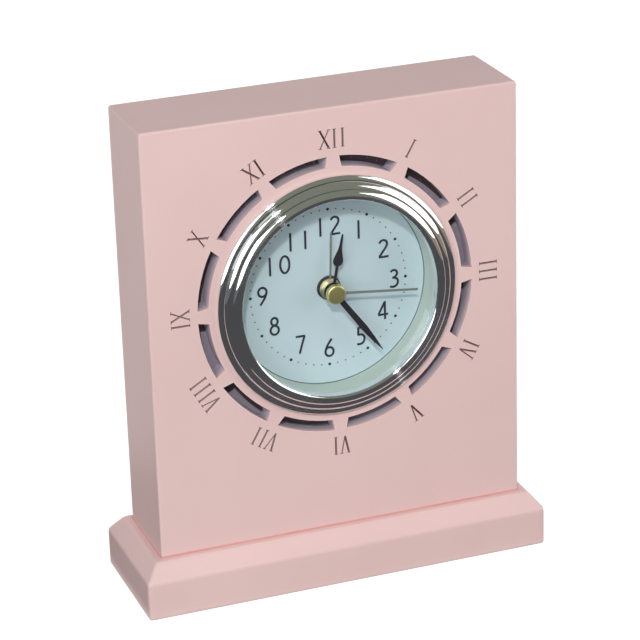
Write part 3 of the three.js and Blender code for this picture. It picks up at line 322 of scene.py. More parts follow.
def smooth_line(points, steps=7):
    """A Catmull-Rom curve through guide points."""
    padded = [points[0]] + list(points) + [points[-1]]
    line = []
    for k in range(1, len(padded) - 2):
        p0, p1, p2, p3 = (Vector(p) for p in padded[k - 1 : k + 3])
        for i in range(steps):
            t = i / steps
            slope = (p2 - p0) * t
            bend = (2 * p0 - 5 * p1 + 4 * p2 - p3) * t**2
            twist = (3 * p1 - p0 - 3 * p2 + p3) * t**3
            line.append((2 * p1 + slope + bend + twist) / 2)
    line.append(Vector(points[-1]))
    return line


def ribbon(bm, line, width, low, high):
    """Adds a flat band of constant width along a line of points."""
    left, right = [], []
    closed = (Vector(line[0]) - Vector(line[-1])).length < SAME_PLACE
    for i, point in enumerate(line):
        point = Vector(point)
        before = Vector(line[i - 1]) if i else Vector(line[-2] if closed else line[0])
        after = Vector(line[i + 1]) if i + 1 < len(line) else Vector(line[1] if closed else line[-1])
        along = (after - before).normalized()
        across = Vector((-along.y, along.x)) * width / 2
        left.append(point + across)
        right.append(point - across)
    levels = []
    for side, level in ((right, low), (left, low), (left, high), (right, high)):
        levels.append([bm.verts.new((p.x, p.y, level)) for p in side])
    for a, b in zip(levels, levels[1:] + levels[:1]):
        for i in range(len(line) - 1):
            bm.faces.new((a[i], a[i + 1], b[i + 1], b[i]))
    if not closed:
        bm.faces.new([side[0] for side in levels])
        bm.faces.new([side[-1] for side in reversed(levels)])


def figure_strokes(figure):
    """Pen strokes of a figure one unit high, whose middle is at x = 0: (smooth or straight, guide points)."""
    if figure == "0":
        return [("smooth", arc(0, 0.5, 0.245, 0.455, 90, 450, 24))]
    if figure == "1":
        return [("straight", [(0, 0), (0, 1)])]
    if figure == "2":
        crown = [(-0.22, 0.80), (-0.15, 0.91), (-0.01, 0.957), (0.14, 0.89), (0.19, 0.75)]
        neck = [(0.14, 0.58), (-0.02, 0.36), (-0.24, 0.07)]
        return [("smooth", crown + neck), ("straight", [(-0.27, 0.045), (0.27, 0.045)])]
    if figure == "3":
        crown = [(-0.18, 0.87), (-0.07, 0.95), (0.07, 0.94), (0.16, 0.84)]
        waist = [(0.15, 0.69), (0.05, 0.58), (-0.09, 0.545)]
        bowl = [(-0.09, 0.545), (0.09, 0.51), (0.20, 0.39), (0.19, 0.19)]
        foot = [(0.07, 0.07), (-0.09, 0.04), (-0.23, 0.09)]
        return [("smooth", crown + waist), ("smooth", bowl + foot)]
    if figure == "4":
        return [
            ("straight", [(0.10, 0.97), (-0.26, 0.30)]),
            ("straight", [(-0.28, 0.275), (0.27, 0.275)]),
            ("straight", [(0.10, 1.0), (0.10, 0)]),
        ]
    if figure == "5":
        bowl = [(-0.12, 0.55), (0.02, 0.575), (0.17, 0.49), (0.22, 0.32)]
        foot = [(0.15, 0.13), (-0.01, 0.045), (-0.20, 0.06)]
        return [
            ("straight", [(0.20, 0.955), (-0.12, 0.955)]),
            ("straight", [(-0.12, 0.99), (-0.12, 0.53)]),
            ("smooth", bowl + foot),
        ]
    if figure == "6":
        stem = [(0.14, 0.99), (0.0, 0.80), (-0.12, 0.61), (-0.20, 0.42), (-0.222, 0.28)]
        return [("smooth", stem), ("smooth", arc(0, 0.285, 0.222, 0.243, 0, 360, 22))]
    if figure == "7":
        return [
            ("straight", [(-0.25, 0.955), (0.26, 0.955)]),
            ("smooth", [(0.235, 0.96), (0.09, 0.52), (-0.06, 0)]),
        ]
    if figure == "8":
        return [
            ("smooth", arc(0, 0.755, 0.175, 0.205, -90, 270, 20)),
            ("smooth", arc(0, 0.285, 0.222, 0.243, 90, 450, 22)),
        ]
    # A nine is a six turned upside down.
    return [(kind, [(-px, 1 - py) for px, py in points]) for kind, points in figure_strokes("6")]


# Millimetres right of and above the dial's middle.
FIGURE_PLACES = {
    "12": (0.3, 23.2),
    "1": (12.0, 20.2),
    "2": (21.4, 11.5),
    "3": (25.2, -0.6),
    "4": (20.7, -12.3),
    "5": (11.7, -20.7),
    "6": (-0.4, -23.3),
    "7": (-11.4, -20.2),
    "8": (-21.0, -11.5),
    "9": (-25.1, 0.7),
    "10": (-19.1, 11.3),
    "11": (-11.1, 19.4),
}
PAIR_SPACING = 5.6


def add_figures():
    bm = bmesh.new()
    level = 0
    for label, (x, y) in FIGURE_PLACES.items():
        for place, figure in enumerate(label):
            shift = (place - (len(label) - 1) / 2) * PAIR_SPACING
            foot = Vector((x + shift, y - FIGURE_HEIGHT / 2))
            for kind, points in figure_strokes(figure):
                guides = [foot + Vector(point) * FIGURE_HEIGHT for point in points]
                line = smooth_line(guides) if kind == "smooth" else guides
                level = (level + 1) % INK_LEVELS
                top = dial_front + INK + level * INK_STEP
                ribbon(bm, line, STROKE, dial_front - INK, top)
    return finish_piece(bm, "dial_figures", "insert", sharp=PRINT_EDGE)


figures = add_figures()

DOT_CIRCLE = 29.65
DOT_TURN = math.radians(0.9)
DOT_SIDES = 16
SMALL_DOT = 0.27
HOUR_DOT = 0.56


def add_dots():
    bm = bmesh.new()
    for minute in range(60):
        angle = math.radians(6 * minute) + DOT_TURN
        radius = HOUR_DOT if minute % 5 == 0 else SMALL_DOT
        x, y = DOT_CIRCLE * math.sin(angle), DOT_CIRCLE * math.cos(angle)
        outline = arc(x, y, radius, radius, 0, 360 - 360 / DOT_SIDES, DOT_SIDES - 1)
        raise_outline(bm, outline, dial_front - INK, dial_front + INK)
    return finish_piece(bm, "minute_dots", "insert", sharp=PRINT_EDGE)


dots = add_dots()
print("figures and dots:", len(figures.data.polygons), len(dots.data.polygons), "faces")

# %% [markdown]
# The hands are stamped from thin sheet and painted, each with a round eye that is pressed on its pipe. A
# blade is drawn as a few half widths along its length, which one outline mirrors and joins to the eye. The
# upper edges get the soft roll that stamping leaves. A hand's turn is read clockwise from twelve, and the
# rest pose shows the time of the photograph.

# %% Hands
SHEET = 0.35
SHEET_EDGE = 0.07
HOUR_ANGLE, MINUTE_ANGLE, SECOND_ANGLE, ALARM_ANGLE = 11.8, 144.0, 96.4, 2.5


def eye_outline(root, blade, eye_radius, steps=44):
    """An outline that runs up a blade's right side, down its left side, and round the eye below.

    The root is half the width where the blade leaves the eye, and the blade's points lie beyond the eye.
    """
    left = [(-half, reach) for half, reach in reversed(blade)]
    leaves = math.degrees(math.acos(root / eye_radius))
    eye = arc(0, 0, eye_radius, eye_radius, 180 - leaves, 360 + leaves, steps)
    return list(blade) + left + eye


def stamped_hand(name, root, blade, eye_radius, levels, angle):
    """Raises a hand between two levels, turns it to its hour and lets it ride on the body of its own name."""
    low, high = levels
    bm = bmesh.new()
    raise_outline(bm, eye_outline(root, blade, eye_radius), low, high)
    top_edges = [e for e in bm.edges if all(abs(v.co.z - high) < SAME_PLACE for v in e.verts)]
    bmesh.ops.bevel(bm, geom=top_edges, offset=SHEET_EDGE, segments=2, profile=0.5, affect="EDGES")
    turn = Matrix.Rotation(-math.radians(angle), 3, "Z")
    bmesh.ops.rotate(bm, cent=(0, 0, 0), matrix=turn, verts=bm.verts)
    return finish_piece(bm, name + "_blade", name + "_body", [name])


HOUR_STEM, HOUR_EYE = 0.45, 3.3
MINUTE_ROOT, MINUTE_EYE = 0.95, 3.1
SECOND_ROOT, SECOND_EYE = 0.42, 1.5
ALARM_ROOT, ALARM_EYE = 0.32, 3.7
drop = [(HOUR_STEM, 9.4), (1.42, 10.1), (1.85, 11.5), (1.32, 13.6), (0.72, 15.6), (0.5, 17.0)]
hour_blade = [tuple(point) for point in smooth_line(drop, 6)] + [(0.38, 19.5), (0.26, 21.4)]
minute_blade = [(1.1, 12.0), (1.2, 19.0), (0.8, 25.0), (0.14, 30.8)]
second_blade = [(0.40, 32.0)]
alarm_blade = [(ALARM_ROOT, 21.2)]
hour_levels = node_levels("hour_hand")
minute_levels = node_levels("minute_hand")
second_levels = node_levels("second_hand")
alarm_low, alarm_high = node_levels("alarm_hand")
alarm_levels = (alarm_low, alarm_low + SHEET)
stamped_hand("hour_hand", HOUR_STEM, hour_blade, HOUR_EYE, hour_levels, HOUR_ANGLE)
stamped_hand("minute_hand", MINUTE_ROOT, minute_blade, MINUTE_EYE, minute_levels, MINUTE_ANGLE)
stamped_hand("second_hand", SECOND_ROOT, second_blade, SECOND_EYE, second_levels, SECOND_ANGLE)
stamped_hand("alarm_hand", ALARM_ROOT, alarm_blade, ALARM_EYE, alarm_levels, ALARM_ANGLE)
print("hands at levels", [round(v, 2) for v in (*hour_levels, *minute_levels, *second_levels)])

# %% [markdown]
# The alarm hand's hub is thicker than its blade: a gilt disc with a collar that grips the pipe. It is
# turned from one section with three soft corners, and lies over the blade's plain eye.

# %% Alarm hub
ALARM_BORE = 2.62
ALARM_COLLAR = 3.1
ALARM_HUB = 3.9
BACK_EDGE, HUB_EDGE, COLLAR_EDGE = 0.08, 0.12, 0.18
OVER_BLADE = 0.03
hub_front = alarm_low + SHEET + OVER_BLADE
hub_low, hub_high = (ALARM_HUB, alarm_low), (ALARM_HUB, hub_front)
collar_low, collar_high = (ALARM_COLLAR, hub_front), (ALARM_COLLAR, alarm_high)
hub_section = [(ALARM_BORE, alarm_low)]
hub_section += rounded_corner((0, alarm_low), hub_low, hub_high, BACK_EDGE)
hub_section += rounded_corner(hub_low, hub_high, (0, hub_front), HUB_EDGE)
hub_section += [collar_low]
hub_section += rounded_corner(collar_low, collar_high, (0, alarm_high), COLLAR_EDGE)
hub_section += [(ALARM_BORE, alarm_high)]
turned("alarm_hub", hub_section, "alarm_hand_body", facets=HUB_FACETS)
print("hub stands", round(alarm_high - alarm_low, 2), "mm high")

# %% [markdown]
# A brass cap hides the end of the second hand's arbor. It is a turned button with a broad soft edge and a
# very slightly domed top. Below it, a black bush carries the pipes where they leave the dial. Both are
# turned from sections, like the rim.

# %% Cap and bush
CAP_RADIUS = 3.6
CAP_EDGE = 0.75
CAP_DOME = 0.12
CAP_FLAT = (1.6, 0.02)
cap_back, cap_front = node_levels("second_hand_cap")
cap_section = [(0, cap_back), (CAP_RADIUS, cap_back)]
cap_rim = (CAP_RADIUS, cap_front - CAP_DOME)
cap_section += rounded_corner((CAP_RADIUS, cap_back), cap_rim, (0, cap_front), CAP_EDGE, 8)
cap_section += [(CAP_FLAT[0], cap_front - CAP_FLAT[1]), (0, cap_front)]
turned("hand_cap", cap_section, "second_hand_body", ["second_hand_cap"], HUB_FACETS)

BUSH_RADIUS = 4.4
BUSH_BORE = 2.66
BUSH_SHANK = 3.5
BUSH_EDGE = 0.25
HOUSING_FLOOR = 1.6
bush_back, bush_front = node_levels("centre_bush")
shoulder = dial_back - HOUSING_FLOOR
bush_rim = (BUSH_RADIUS, bush_front)
bush_section = [(BUSH_BORE, bush_back), (BUSH_SHANK, bush_back), (BUSH_SHANK, shoulder)]
bush_section += [(BUSH_RADIUS, shoulder)]
bush_section += rounded_corner((BUSH_RADIUS, shoulder), bush_rim, (0, bush_front), BUSH_EDGE)
bush_section += [(BUSH_BORE, bush_front)]
turned("dial_bush", bush_section, "insert", ["centre_bush"], HUB_FACETS)
print("cap is", round(cap_front - cap_back, 2), "mm thick")

# %% [markdown]
# Where the slab meets the plinth, a thin line of a deeper pink follows the slab's foot all the way round:
# painted shade for the crease there, carried by a slim bead. It is a low section, given as steps out from the
# slab and up from the plinth, that is swept along the four sides with square corners.

# %% Joint bead with painted shade
BEAD_OUT = 0.4
BEAD_UP = 0.45
BEAD_SINK = -0.15
BEAD_SECTION = [
    (-0.9, BEAD_SINK),
    (BEAD_OUT, BEAD_SINK),
    (BEAD_OUT, 0.05),
    (BEAD_OUT * 0.35, BEAD_UP * 0.45),
    (-0.1, BEAD_UP),
]
block_low, block_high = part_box("case_block")
plinth_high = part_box("base_plinth")[1]


def add_joint_shade_bead():
    bm = bmesh.new()
    half_width = (block_high.x - block_low.x) / 2 / MM
    low_y, high_y = panel_low.y / MM, block_high.y / MM
    foot = plinth_high.z / MM
    rings = []
    for out, up in BEAD_SECTION:
        corners = [
            (-half_width - out, low_y - out),
            (half_width + out, low_y - out),
            (half_width + out, high_y + out),
            (-half_width - out, high_y + out),
        ]
        rings.append([bm.verts.new((x, y, foot + up)) for x, y in corners])
    for a, b in zip(rings, rings[1:] + rings[:1]):
        for i in range(4):
            j = (i + 1) % 4
            bm.faces.new((a[i], a[j], b[j], b[i]))
    return finish_piece(bm, "joint_shade_bead", "case", matrix=Matrix.Identity(4))


add_joint_shade_bead()
print("bead lies", round(plinth_high.z / MM, 2), "mm above the table")

# %% [markdown]
# Materials start with effects that several finishes share, each built once as a node group. `soft_edges`
# finds the corners of a piece, where paint thins and gets knocked: there the normal of a small bevel turns
# away from the face's own. `cloudy` gives broad and fine noise in the piece's own coordinates. `flecks`
# scatters tiny spots.

# %% Shared effects
def new_group(name, inputs, outputs):
    """An empty node group with named numbers going in and named masks coming out."""
    group = bpy.data.node_groups.new(name, "ShaderNodeTree")
    for label, default in inputs:
        socket = group.interface.new_socket(label, in_out="INPUT", socket_type="NodeSocketFloat")
        socket.default_value = default
    for label in outputs:
        group.interface.new_socket(label, in_out="OUTPUT", socket_type="NodeSocketFloat")
    return group, group.nodes.new("NodeGroupInput"), group.nodes.new("NodeGroupOutput")


def feed(tree, socket, value):
    """Sets a socket to a plain value, or links it to another node's output."""
    if isinstance(value, bpy.types.NodeSocket):
        tree.links.new(value, socket)
    else:
        socket.default_value = value


def add_node(tree, kind, **values):
    """A shader node with its named sockets fed; in their names an underscore stands for a blank."""
    node = tree.nodes.new(kind)
    for label, value in values.items():
        feed(tree, node.inputs[label.replace("_", " ")], value)
    return node


def math_node(tree, operation, *values, clamp=False):
    node = add_node(tree, "ShaderNodeMath")
    node.operation = operation
    node.use_clamp = clamp
    for socket, value in zip(node.inputs, values):
        feed(tree, socket, value)
    return node.outputs[0]


def product(tree, *masks):
    """Several masks multiplied: high only where all of them are."""
    result = masks[0]
    for mask in masks[1:]:
        result = math_node(tree, "MULTIPLY", result, mask)
    return result


def noise_node(tree, vector, scale, detail=4.0, roughness=0.55):
    node = add_node(tree, "ShaderNodeTexNoise", Vector=vector, Scale=scale)
    node.inputs["Detail"].default_value = detail
    node.inputs["Roughness"].default_value = roughness
    return node.outputs["Fac"]


def dot_product(tree, first, second):
    node = add_node(tree, "ShaderNodeVectorMath")
    node.operation = "DOT_PRODUCT"
    feed(tree, node.inputs[0], first)
    feed(tree, node.inputs[1], second)
    return node.outputs["Value"]


def blend(tree, share, first, second):
    """Some share of a second shader laid into the first; the share is a number or an output."""
    mix = add_node(tree, "ShaderNodeMixShader", Fac=share)
    tree.links.new(first, mix.inputs[1])
    tree.links.new(second, mix.inputs[2])
    return mix.outputs[0]


def own_place(tree):
    """The piece's own coordinates, which stay with it when it moves."""
    return add_node(tree, "ShaderNodeTexCoord").outputs["Object"]


EDGE_GAIN = 6.0
PATCH_SCALE = 260.0
PATCH_LEAST = 0.3


def build_soft_edges():
    group, entry, out = new_group("soft_edges", [("Reach", 0.0006), ("Amount", 1.0)], ["Mask"])
    bevel = add_node(group, "ShaderNodeBevel", Radius=entry.outputs["Reach"])
    bevel.samples = 4
    geometry = add_node(group, "ShaderNodeNewGeometry")
    alike = dot_product(group, bevel.outputs["Normal"], geometry.outputs["True Normal"])
    turn = math_node(group, "SUBTRACT", 1.0, alike)
    strong = math_node(group, "MULTIPLY", turn, EDGE_GAIN, clamp=True)
    patchy = noise_node(group, own_place(group), PATCH_SCALE)
    worn = product(group, strong, math_node(group, "ADD", patchy, PATCH_LEAST))
    amount = math_node(group, "MULTIPLY", worn, entry.outputs["Amount"], clamp=True)
    group.links.new(amount, out.inputs["Mask"])
    return group


def build_cloudy():
    group, entry, out = new_group("cloudy", [("Broad Scale", 18.0), ("Fine Scale", 900.0)], ["Broad", "Fine"])
    place = own_place(group)
    group.links.new(noise_node(group, place, entry.outputs["Broad Scale"], 3.0), out.inputs["Broad"])
    group.links.new(noise_node(group, place, entry.outputs["Fine Scale"], 5.0), out.inputs["Fine"])
    return group


def build_flecks():
    group, entry, out = new_group("flecks", [("Scale", 700.0), ("Share", 0.12)], ["Mask"])
    cells = add_node(group, "ShaderNodeTexVoronoi", Vector=own_place(group), Scale=entry.outputs["Scale"])
    near = math_node(group, "LESS_THAN", cells.outputs["Distance"], entry.outputs["Share"])
    group.links.new(near, out.inputs["Mask"])
    return group


SOFT_EDGES = build_soft_edges()
CLOUDY = build_cloudy()
FLECKS = build_flecks()
print("effects:", [g.name for g in bpy.data.node_groups])

# %% [markdown]
# Every finish here is one Principled shader whose colour, roughness and relief are laid on in steps. A
# small class keeps those steps short: `tint` lays a colour over the last one, `roughen` spreads the
# roughness, and `bump` adds a layer of relief. What is the same all over stays on the shader's own sockets.

# %% Material helpers
def srgb(red, green, blue):
    """A colour read as 0 to 255, turned to the linear values that shaders use."""
    linear = []
    for value in (red, green, blue):
        v = value / 255
        linear.append(v / 12.92 if v <= 0.04045 else ((v + 0.055) / 1.055) ** 2.4)
    return (*linear, 1.0)


class Finish:
    """A material with its Principled shader, and short ways to feed it."""

    def __init__(self, name, color, roughness, metallic=0.0, **sockets):
        self.material = bpy.data.materials.new(name)
        self.material.use_nodes = True
        self.tree = self.material.node_tree
        self.shader = self.tree.nodes["Principled BSDF"]
        sockets |= {"Base_Color": color, "Roughness": roughness, "Metallic": metallic}
        for label, value in sockets.items():
            self.shader.inputs[label.replace("_", " ")].default_value = value
        self.color = color
        self.normal = None

    def effect(self, group, **values):
        node = add_node(self.tree, "ShaderNodeGroup")
        node.node_tree = group
        for label, value in values.items():
            node.inputs[label.replace("_", " ")].default_value = value
        return node.outputs

    def axes(self):
        """The three parts of the piece's own coordinates, in metres."""
        split = add_node(self.tree, "ShaderNodeSeparateXYZ", Vector=own_place(self.tree))
        return split.outputs["X"], split.outputs["Y"], split.outputs["Z"]

    def stretch(self, scale):
        """The piece's own coordinates, squeezed or stretched along each axis."""
        node = add_node(self.tree, "ShaderNodeMapping", Vector=own_place(self.tree), Scale=scale)
        return node.outputs["Vector"]

    def tint(self, mask, color, strength=1.0):
        """Lays another colour over the present one where the mask is high."""
        mix = add_node(self.tree, "ShaderNodeMix")
        mix.data_type = "RGBA"
        factor, under, over = mix.inputs[0], mix.inputs[6], mix.inputs[7]
        feed(self.tree, factor, mask if strength == 1.0 else product(self.tree, mask, strength))
        feed(self.tree, under, self.color)
        feed(self.tree, over, color)
        self.color = mix.outputs[2]
        self.tree.links.new(self.color, self.shader.inputs["Base Color"])

    def ramp(self, value, low, high):
        """Stretches a value so that low becomes 0 and high becomes 1."""
        node = add_node(self.tree, "ShaderNodeMapRange", Value=value, From_Min=low, From_Max=high)
        return node.outputs["Result"]

    def roughen(self, value, low, high):
        node = add_node(self.tree, "ShaderNodeMapRange", Value=value, To_Min=low, To_Max=high)
        self.tree.links.new(node.outputs["Result"], self.shader.inputs["Roughness"])

    def bump(self, height, distance, strength=1.0):
        """Adds a layer of relief; each layer starts from the normal that the last one left."""
        node = add_node(self.tree, "ShaderNodeBump", Height=height, Distance=distance, Strength=strength)
        if self.normal is not None:
            self.tree.links.new(self.normal, node.inputs["Normal"])
        self.normal = node.outputs["Normal"]
        self.tree.links.new(self.normal, self.shader.inputs["Normal"])

    def show(self, shader_output):
        """Makes another shader's output the surface of this material."""
        self.tree.links.new(shader_output, self.tree.nodes["Material Output"].inputs["Surface"])


print("middle grey as a shader's value:", round(srgb(128, 128, 128)[0], 3))

# %% [markdown]
# The paint is a satin pink, rolled over sanded wood. Close up it isn't one colour: it clouds slightly, the
# roller leaves a fine tooth, the grain shows faintly as relief, and edges are paler where the coat is thin.
# The two boards of the slab are glued and filled before painting, so no edge is drawn where they meet. The
# bead along the foot is painted a deeper pink, as shade in the crease.

# %% Pink paint
PAINT_ROUGHNESS = 0.46
PINK = srgb(224, 193, 189)
PALE_PINK = srgb(240, 220, 215)
DEEP_PINK = srgb(208, 174, 170)
# Painted shade: the deeper pink of the bead in the crease at the slab's foot.
JOINT_SHADE_PINK = srgb(206, 128, 124)
JOINT_HALF_WIDTH = 0.0011
JOINT_FADE = 0.002
CLOUD_RANGE = (0.35, 0.75)
GRAIN_SCALE = (260.0, 260.0, 9.0)
GRAIN_DEPTH = 0.00006
TOOTH_DEPTH = 0.00003


def flat_distance(tree, across, up):
    """How far a point is from the middle, from its two offsets."""
    squares = [math_node(tree, "POWER", offset, 2.0) for offset in (across, up)]
    return math_node(tree, "SQRT", math_node(tree, "ADD", *squares))


def depth_and_reach(finish):
    """Depth behind the face and distance from the dial's middle, in metres."""
    tree = finish.tree
    x, y, z = finish.axes()
    across = math_node(tree, "SUBTRACT", x, DIAL_X)
    up = math_node(tree, "SUBTRACT", z, DIAL_Z)
    return math_node(tree, "SUBTRACT", y, FACE_Y), flat_distance(tree, across, up)


def pink_paint(name, joint=False):
    """The paint of a board; with a joint, no worn edge shows where panel and block meet."""
    finish = Finish(name, PINK, PAINT_ROUGHNESS, Specular_IOR_Level=0.35)
    clouds = finish.effect(CLOUDY, Broad_Scale=14.0, Fine_Scale=1500.0)
    finish.tint(finish.ramp(clouds["Broad"], *CLOUD_RANGE), DEEP_PINK, 0.3)
    edges = finish.effect(SOFT_EDGES, Reach=0.0009, Amount=0.5)["Mask"]
    if joint:
        depth, _ = depth_and_reach(finish)
        off_joint = math_node(finish.tree, "SUBTRACT", depth, PANEL_DEPTH)
        away = math_node(finish.tree, "ABSOLUTE", off_joint)
        edges = product(finish.tree, edges, finish.ramp(away, JOINT_HALF_WIDTH, JOINT_FADE))
    finish.tint(edges, PALE_PINK)
    finish.tint(finish.effect(FLECKS, Scale=420.0, Share=0.05)["Mask"], PALE_PINK, 0.5)
    finish.roughen(clouds["Fine"], 0.40, 0.54)
    grain = noise_node(finish.tree, finish.stretch(GRAIN_SCALE), 1.0, 6.0, 0.6)
    finish.bump(grain, GRAIN_DEPTH, 0.5)
    finish.bump(clouds["Fine"], TOOTH_DEPTH, 0.6)
    return finish


plinth_paint = pink_paint("pink_paint")
# The bead's finish is painted shade for the crease between slab and plinth.
bead_shade_finish = Finish("joint_shade_paint", JOINT_SHADE_PINK, 0.4)
bead_clouds = bead_shade_finish.effect(CLOUDY, Broad_Scale=60.0, Fine_Scale=800.0)
bead_shade_finish.tint(bead_clouds["Broad"], PINK, 0.5)
bead_shade_finish.roughen(bead_clouds["Fine"], 0.35, 0.5)
print("paint nodes:", len(plinth_paint.tree.nodes))

# %% [markdown]
# The cutter that made the numerals and slots went through the paint. A stroke is a small V groove in a dark
# brown, partly the cut wood's own colour and partly painted shade, and its wall that looks up and left,
# towards the key lamp, gets a painted highlight of pale pink. The slot walls fade from pink at the lip to a
# lilac grey below. Masks from depth behind the face and distance from the dial's middle pick these places
# out. They are measured in the piece's own coordinates, so they move with it.

# %% Carved panel
SLOT_BAND = 0.0532
NUMERAL_BAND = 0.0635
# Groove colour: partly the cut wood's own brown, partly painted shade in the recess.
CUT_AND_SHADE_BROWN = srgb(76, 28, 32)
SLOT_GREY = srgb(176, 170, 182)
# Walls that face this way, towards the key lamp, get a painted highlight.
HIGHLIGHT_SIDE = (-0.5, 0.0, 0.8)
HIGHLIGHT_RANGE = (-0.05, 0.3)
STROKE_DEPTH = (0.00001, 0.00006)
WALL_DEPTH = (0.0004, 0.0030)


def painted_highlight_wall(finish):
    """High on walls that look up and to the left, towards the key lamp, where a highlight is painted."""
    own_normal = add_node(finish.tree, "ShaderNodeTexCoord").outputs["Normal"]
    return finish.ramp(dot_product(finish.tree, own_normal, HIGHLIGHT_SIDE), *HIGHLIGHT_RANGE)


def carved_paint():
    finish = pink_paint("carved_pink_paint", joint=True)
    tree = finish.tree
    depth, reach = depth_and_reach(finish)
    in_slots = math_node(tree, "LESS_THAN", reach, SLOT_BAND)
    past_slots = math_node(tree, "SUBTRACT", 1.0, in_slots)
    in_letters = math_node(tree, "LESS_THAN", reach, NUMERAL_BAND)
    strokes = product(tree, finish.ramp(depth, *STROKE_DEPTH), in_letters, past_slots)
    # Dark brown in the grooves, partly the cut wood's colour and partly painted shade.
    finish.tint(strokes, CUT_AND_SHADE_BROWN)
    # Painted highlight: pale pink on the stroke walls that face the key lamp.
    finish.tint(product(tree, strokes, painted_highlight_wall(finish)), PALE_PINK, 0.2)
    finish.tint(product(tree, finish.ramp(depth, *WALL_DEPTH), in_slots), SLOT_GREY)
    return finish


panel_paint = carved_paint()
print("strokes are brown from", round(STROKE_DEPTH[1] / MM, 3), "mm below the face")

# %% [markdown]
# The block behind the panel is the same wood. It is painted outside, and its front face, which is the floor
# of the slots, has a grey primer and some dust. The dark brown on part of each floor is painted shadow: where
# the slots' edges shade the floor from the key lamp at the upper left, the floor is painted brown. A point of
# the floor is lit when a line from it towards the key lamp still leaves through its slot. So the mask moves
# each point that way, up to the face, and asks whether it then lies in the ring of slots and off the bridges.

# %% Block
PRIMER = srgb(152, 144, 155)
# Painted shadow: the brown of the slot floors where the key lamp doesn't reach.
PAINTED_SHADOW_BROWN = srgb(86, 70, 73)
# The key lamp's direction, as a shift left and up per unit of depth, which casts the painted shadow.
KEY_LEFT, KEY_UP = 0.4, 0.8
SLOT_INNER, SLOT_OUTER = 0.04805, 0.0521
BRIDGE_HALF_WIDTH = 0.0027
HALF_HOUR_TURN = math.pi / 12
FLOOR_TOLERANCE = 0.0002


def out_of_painted_shadow(finish):
    """One where the key lamp reaches the floor, and zero where an edge of the slot shades it, which is
    painted shadow.
    """
    tree = finish.tree
    x, _, z = finish.axes()
    across = math_node(tree, "SUBTRACT", x, DIAL_X + KEY_LEFT * PANEL_DEPTH)
    up = math_node(tree, "SUBTRACT", z, DIAL_Z - KEY_UP * PANEL_DEPTH)
    reach = flat_distance(tree, across, up)
    from_hour = math_node(tree, "PINGPONG", math_node(tree, "ARCTAN2", across, up), HALF_HOUR_TURN)
    off_hour = product(tree, reach, math_node(tree, "SINE", from_hour))
    off_bridge = math_node(tree, "GREATER_THAN", off_hour, BRIDGE_HALF_WIDTH)
    past_inner = math_node(tree, "GREATER_THAN", reach, SLOT_INNER)
    within_outer = math_node(tree, "LESS_THAN", reach, SLOT_OUTER)
    return product(tree, off_bridge, past_inner, within_outer)


def block_paint():
    finish = pink_paint("block_paint", joint=True)
    tree = finish.tree
    depth, reach = depth_and_reach(finish)
    in_front = math_node(tree, "LESS_THAN", depth, PANEL_DEPTH + FLOOR_TOLERANCE)
    floor = product(tree, in_front, math_node(tree, "LESS_THAN", reach, SLOT_BAND))
    # The floor is painted dark brown as shadow, then grey primer where the key lamp reaches it.
    finish.tint(floor, PAINTED_SHADOW_BROWN)
    finish.tint(product(tree, floor, out_of_painted_shadow(finish)), PRIMER)
    specks = finish.effect(FLECKS, Scale=900.0, Share=0.1)["Mask"]
    finish.tint(product(tree, specks, floor), PALE_PINK, 0.7)
    return finish


slot_floor_paint = block_paint()
print("slot floors lie", round(PANEL_DEPTH / MM, 2), "mm behind the face")

# %% [markdown]
# Chrome is a mirror with a history: a little haze from wiping, and a hair of unevenness from the press. Its
# looks come from what it reflects, so the base stays a plain light grey. The rim was polished on a lathe,
# whose fine rings spread the glint of a small lamp into a line across all the ribs. A small share of a
# second, stretched gloss makes that line, and the mirror itself stays sharp. The other metals are drawn or
# turned, with fine lines.

# %% Metals
CHROME_BASE = (0.86, 0.87, 0.88, 1)
CHROME_ROUGHNESS = 0.045
RING_SHARE = 0.05
RING_ROUGHNESS = 0.24
RING_STRETCH = 0.96
DUST = (0.3, 0.3, 0.3, 1)
LINE_SCALE = (900.0, 6000.0, 900.0)


def chrome():
    finish = Finish("polished_chrome", CHROME_BASE, CHROME_ROUGHNESS, 1.0)
    clouds = finish.effect(CLOUDY, Broad_Scale=120.0, Fine_Scale=2500.0)
    finish.roughen(clouds["Broad"], 0.03, 0.065)
    finish.bump(clouds["Broad"], 0.00002, 0.25)
    finish.tint(finish.effect(FLECKS, Scale=600.0, Share=0.04)["Mask"], DUST, 0.5)
    tree = finish.tree
    round_axis = add_node(tree, "ShaderNodeTangent")
    round_axis.direction_type = "RADIAL"
    round_axis.axis = "Z"
    tangent = round_axis.outputs["Tangent"]
    rings = add_node(tree, "ShaderNodeBsdfAnisotropic", Color=CHROME_BASE, Tangent=tangent)
    rings.inputs["Roughness"].default_value = RING_ROUGHNESS
    rings.inputs["Anisotropy"].default_value = RING_STRETCH
    finish.show(blend(tree, RING_SHARE, finish.shader.outputs[0], rings.outputs[0]))
    return finish


def darker(color, share):
    return (*(value * share for value in color[:3]), 1)


def brushed(name, color, roughness, in_lines=0.6):
    """Metal that was drawn or turned: fine lines along one way, with a share of the colour left in them."""
    finish = Finish(name, color, roughness, 1.0)
    lines = noise_node(finish.tree, finish.stretch(LINE_SCALE), 1.0, 4.0, 0.6)
    finish.tint(finish.ramp(lines, 0.4, 0.8), darker(color, in_lines), 0.35)
    finish.roughen(lines, max(0.05, roughness - 0.1), roughness + 0.12)
    finish.bump(lines, 0.00001, 0.2)
    return finish


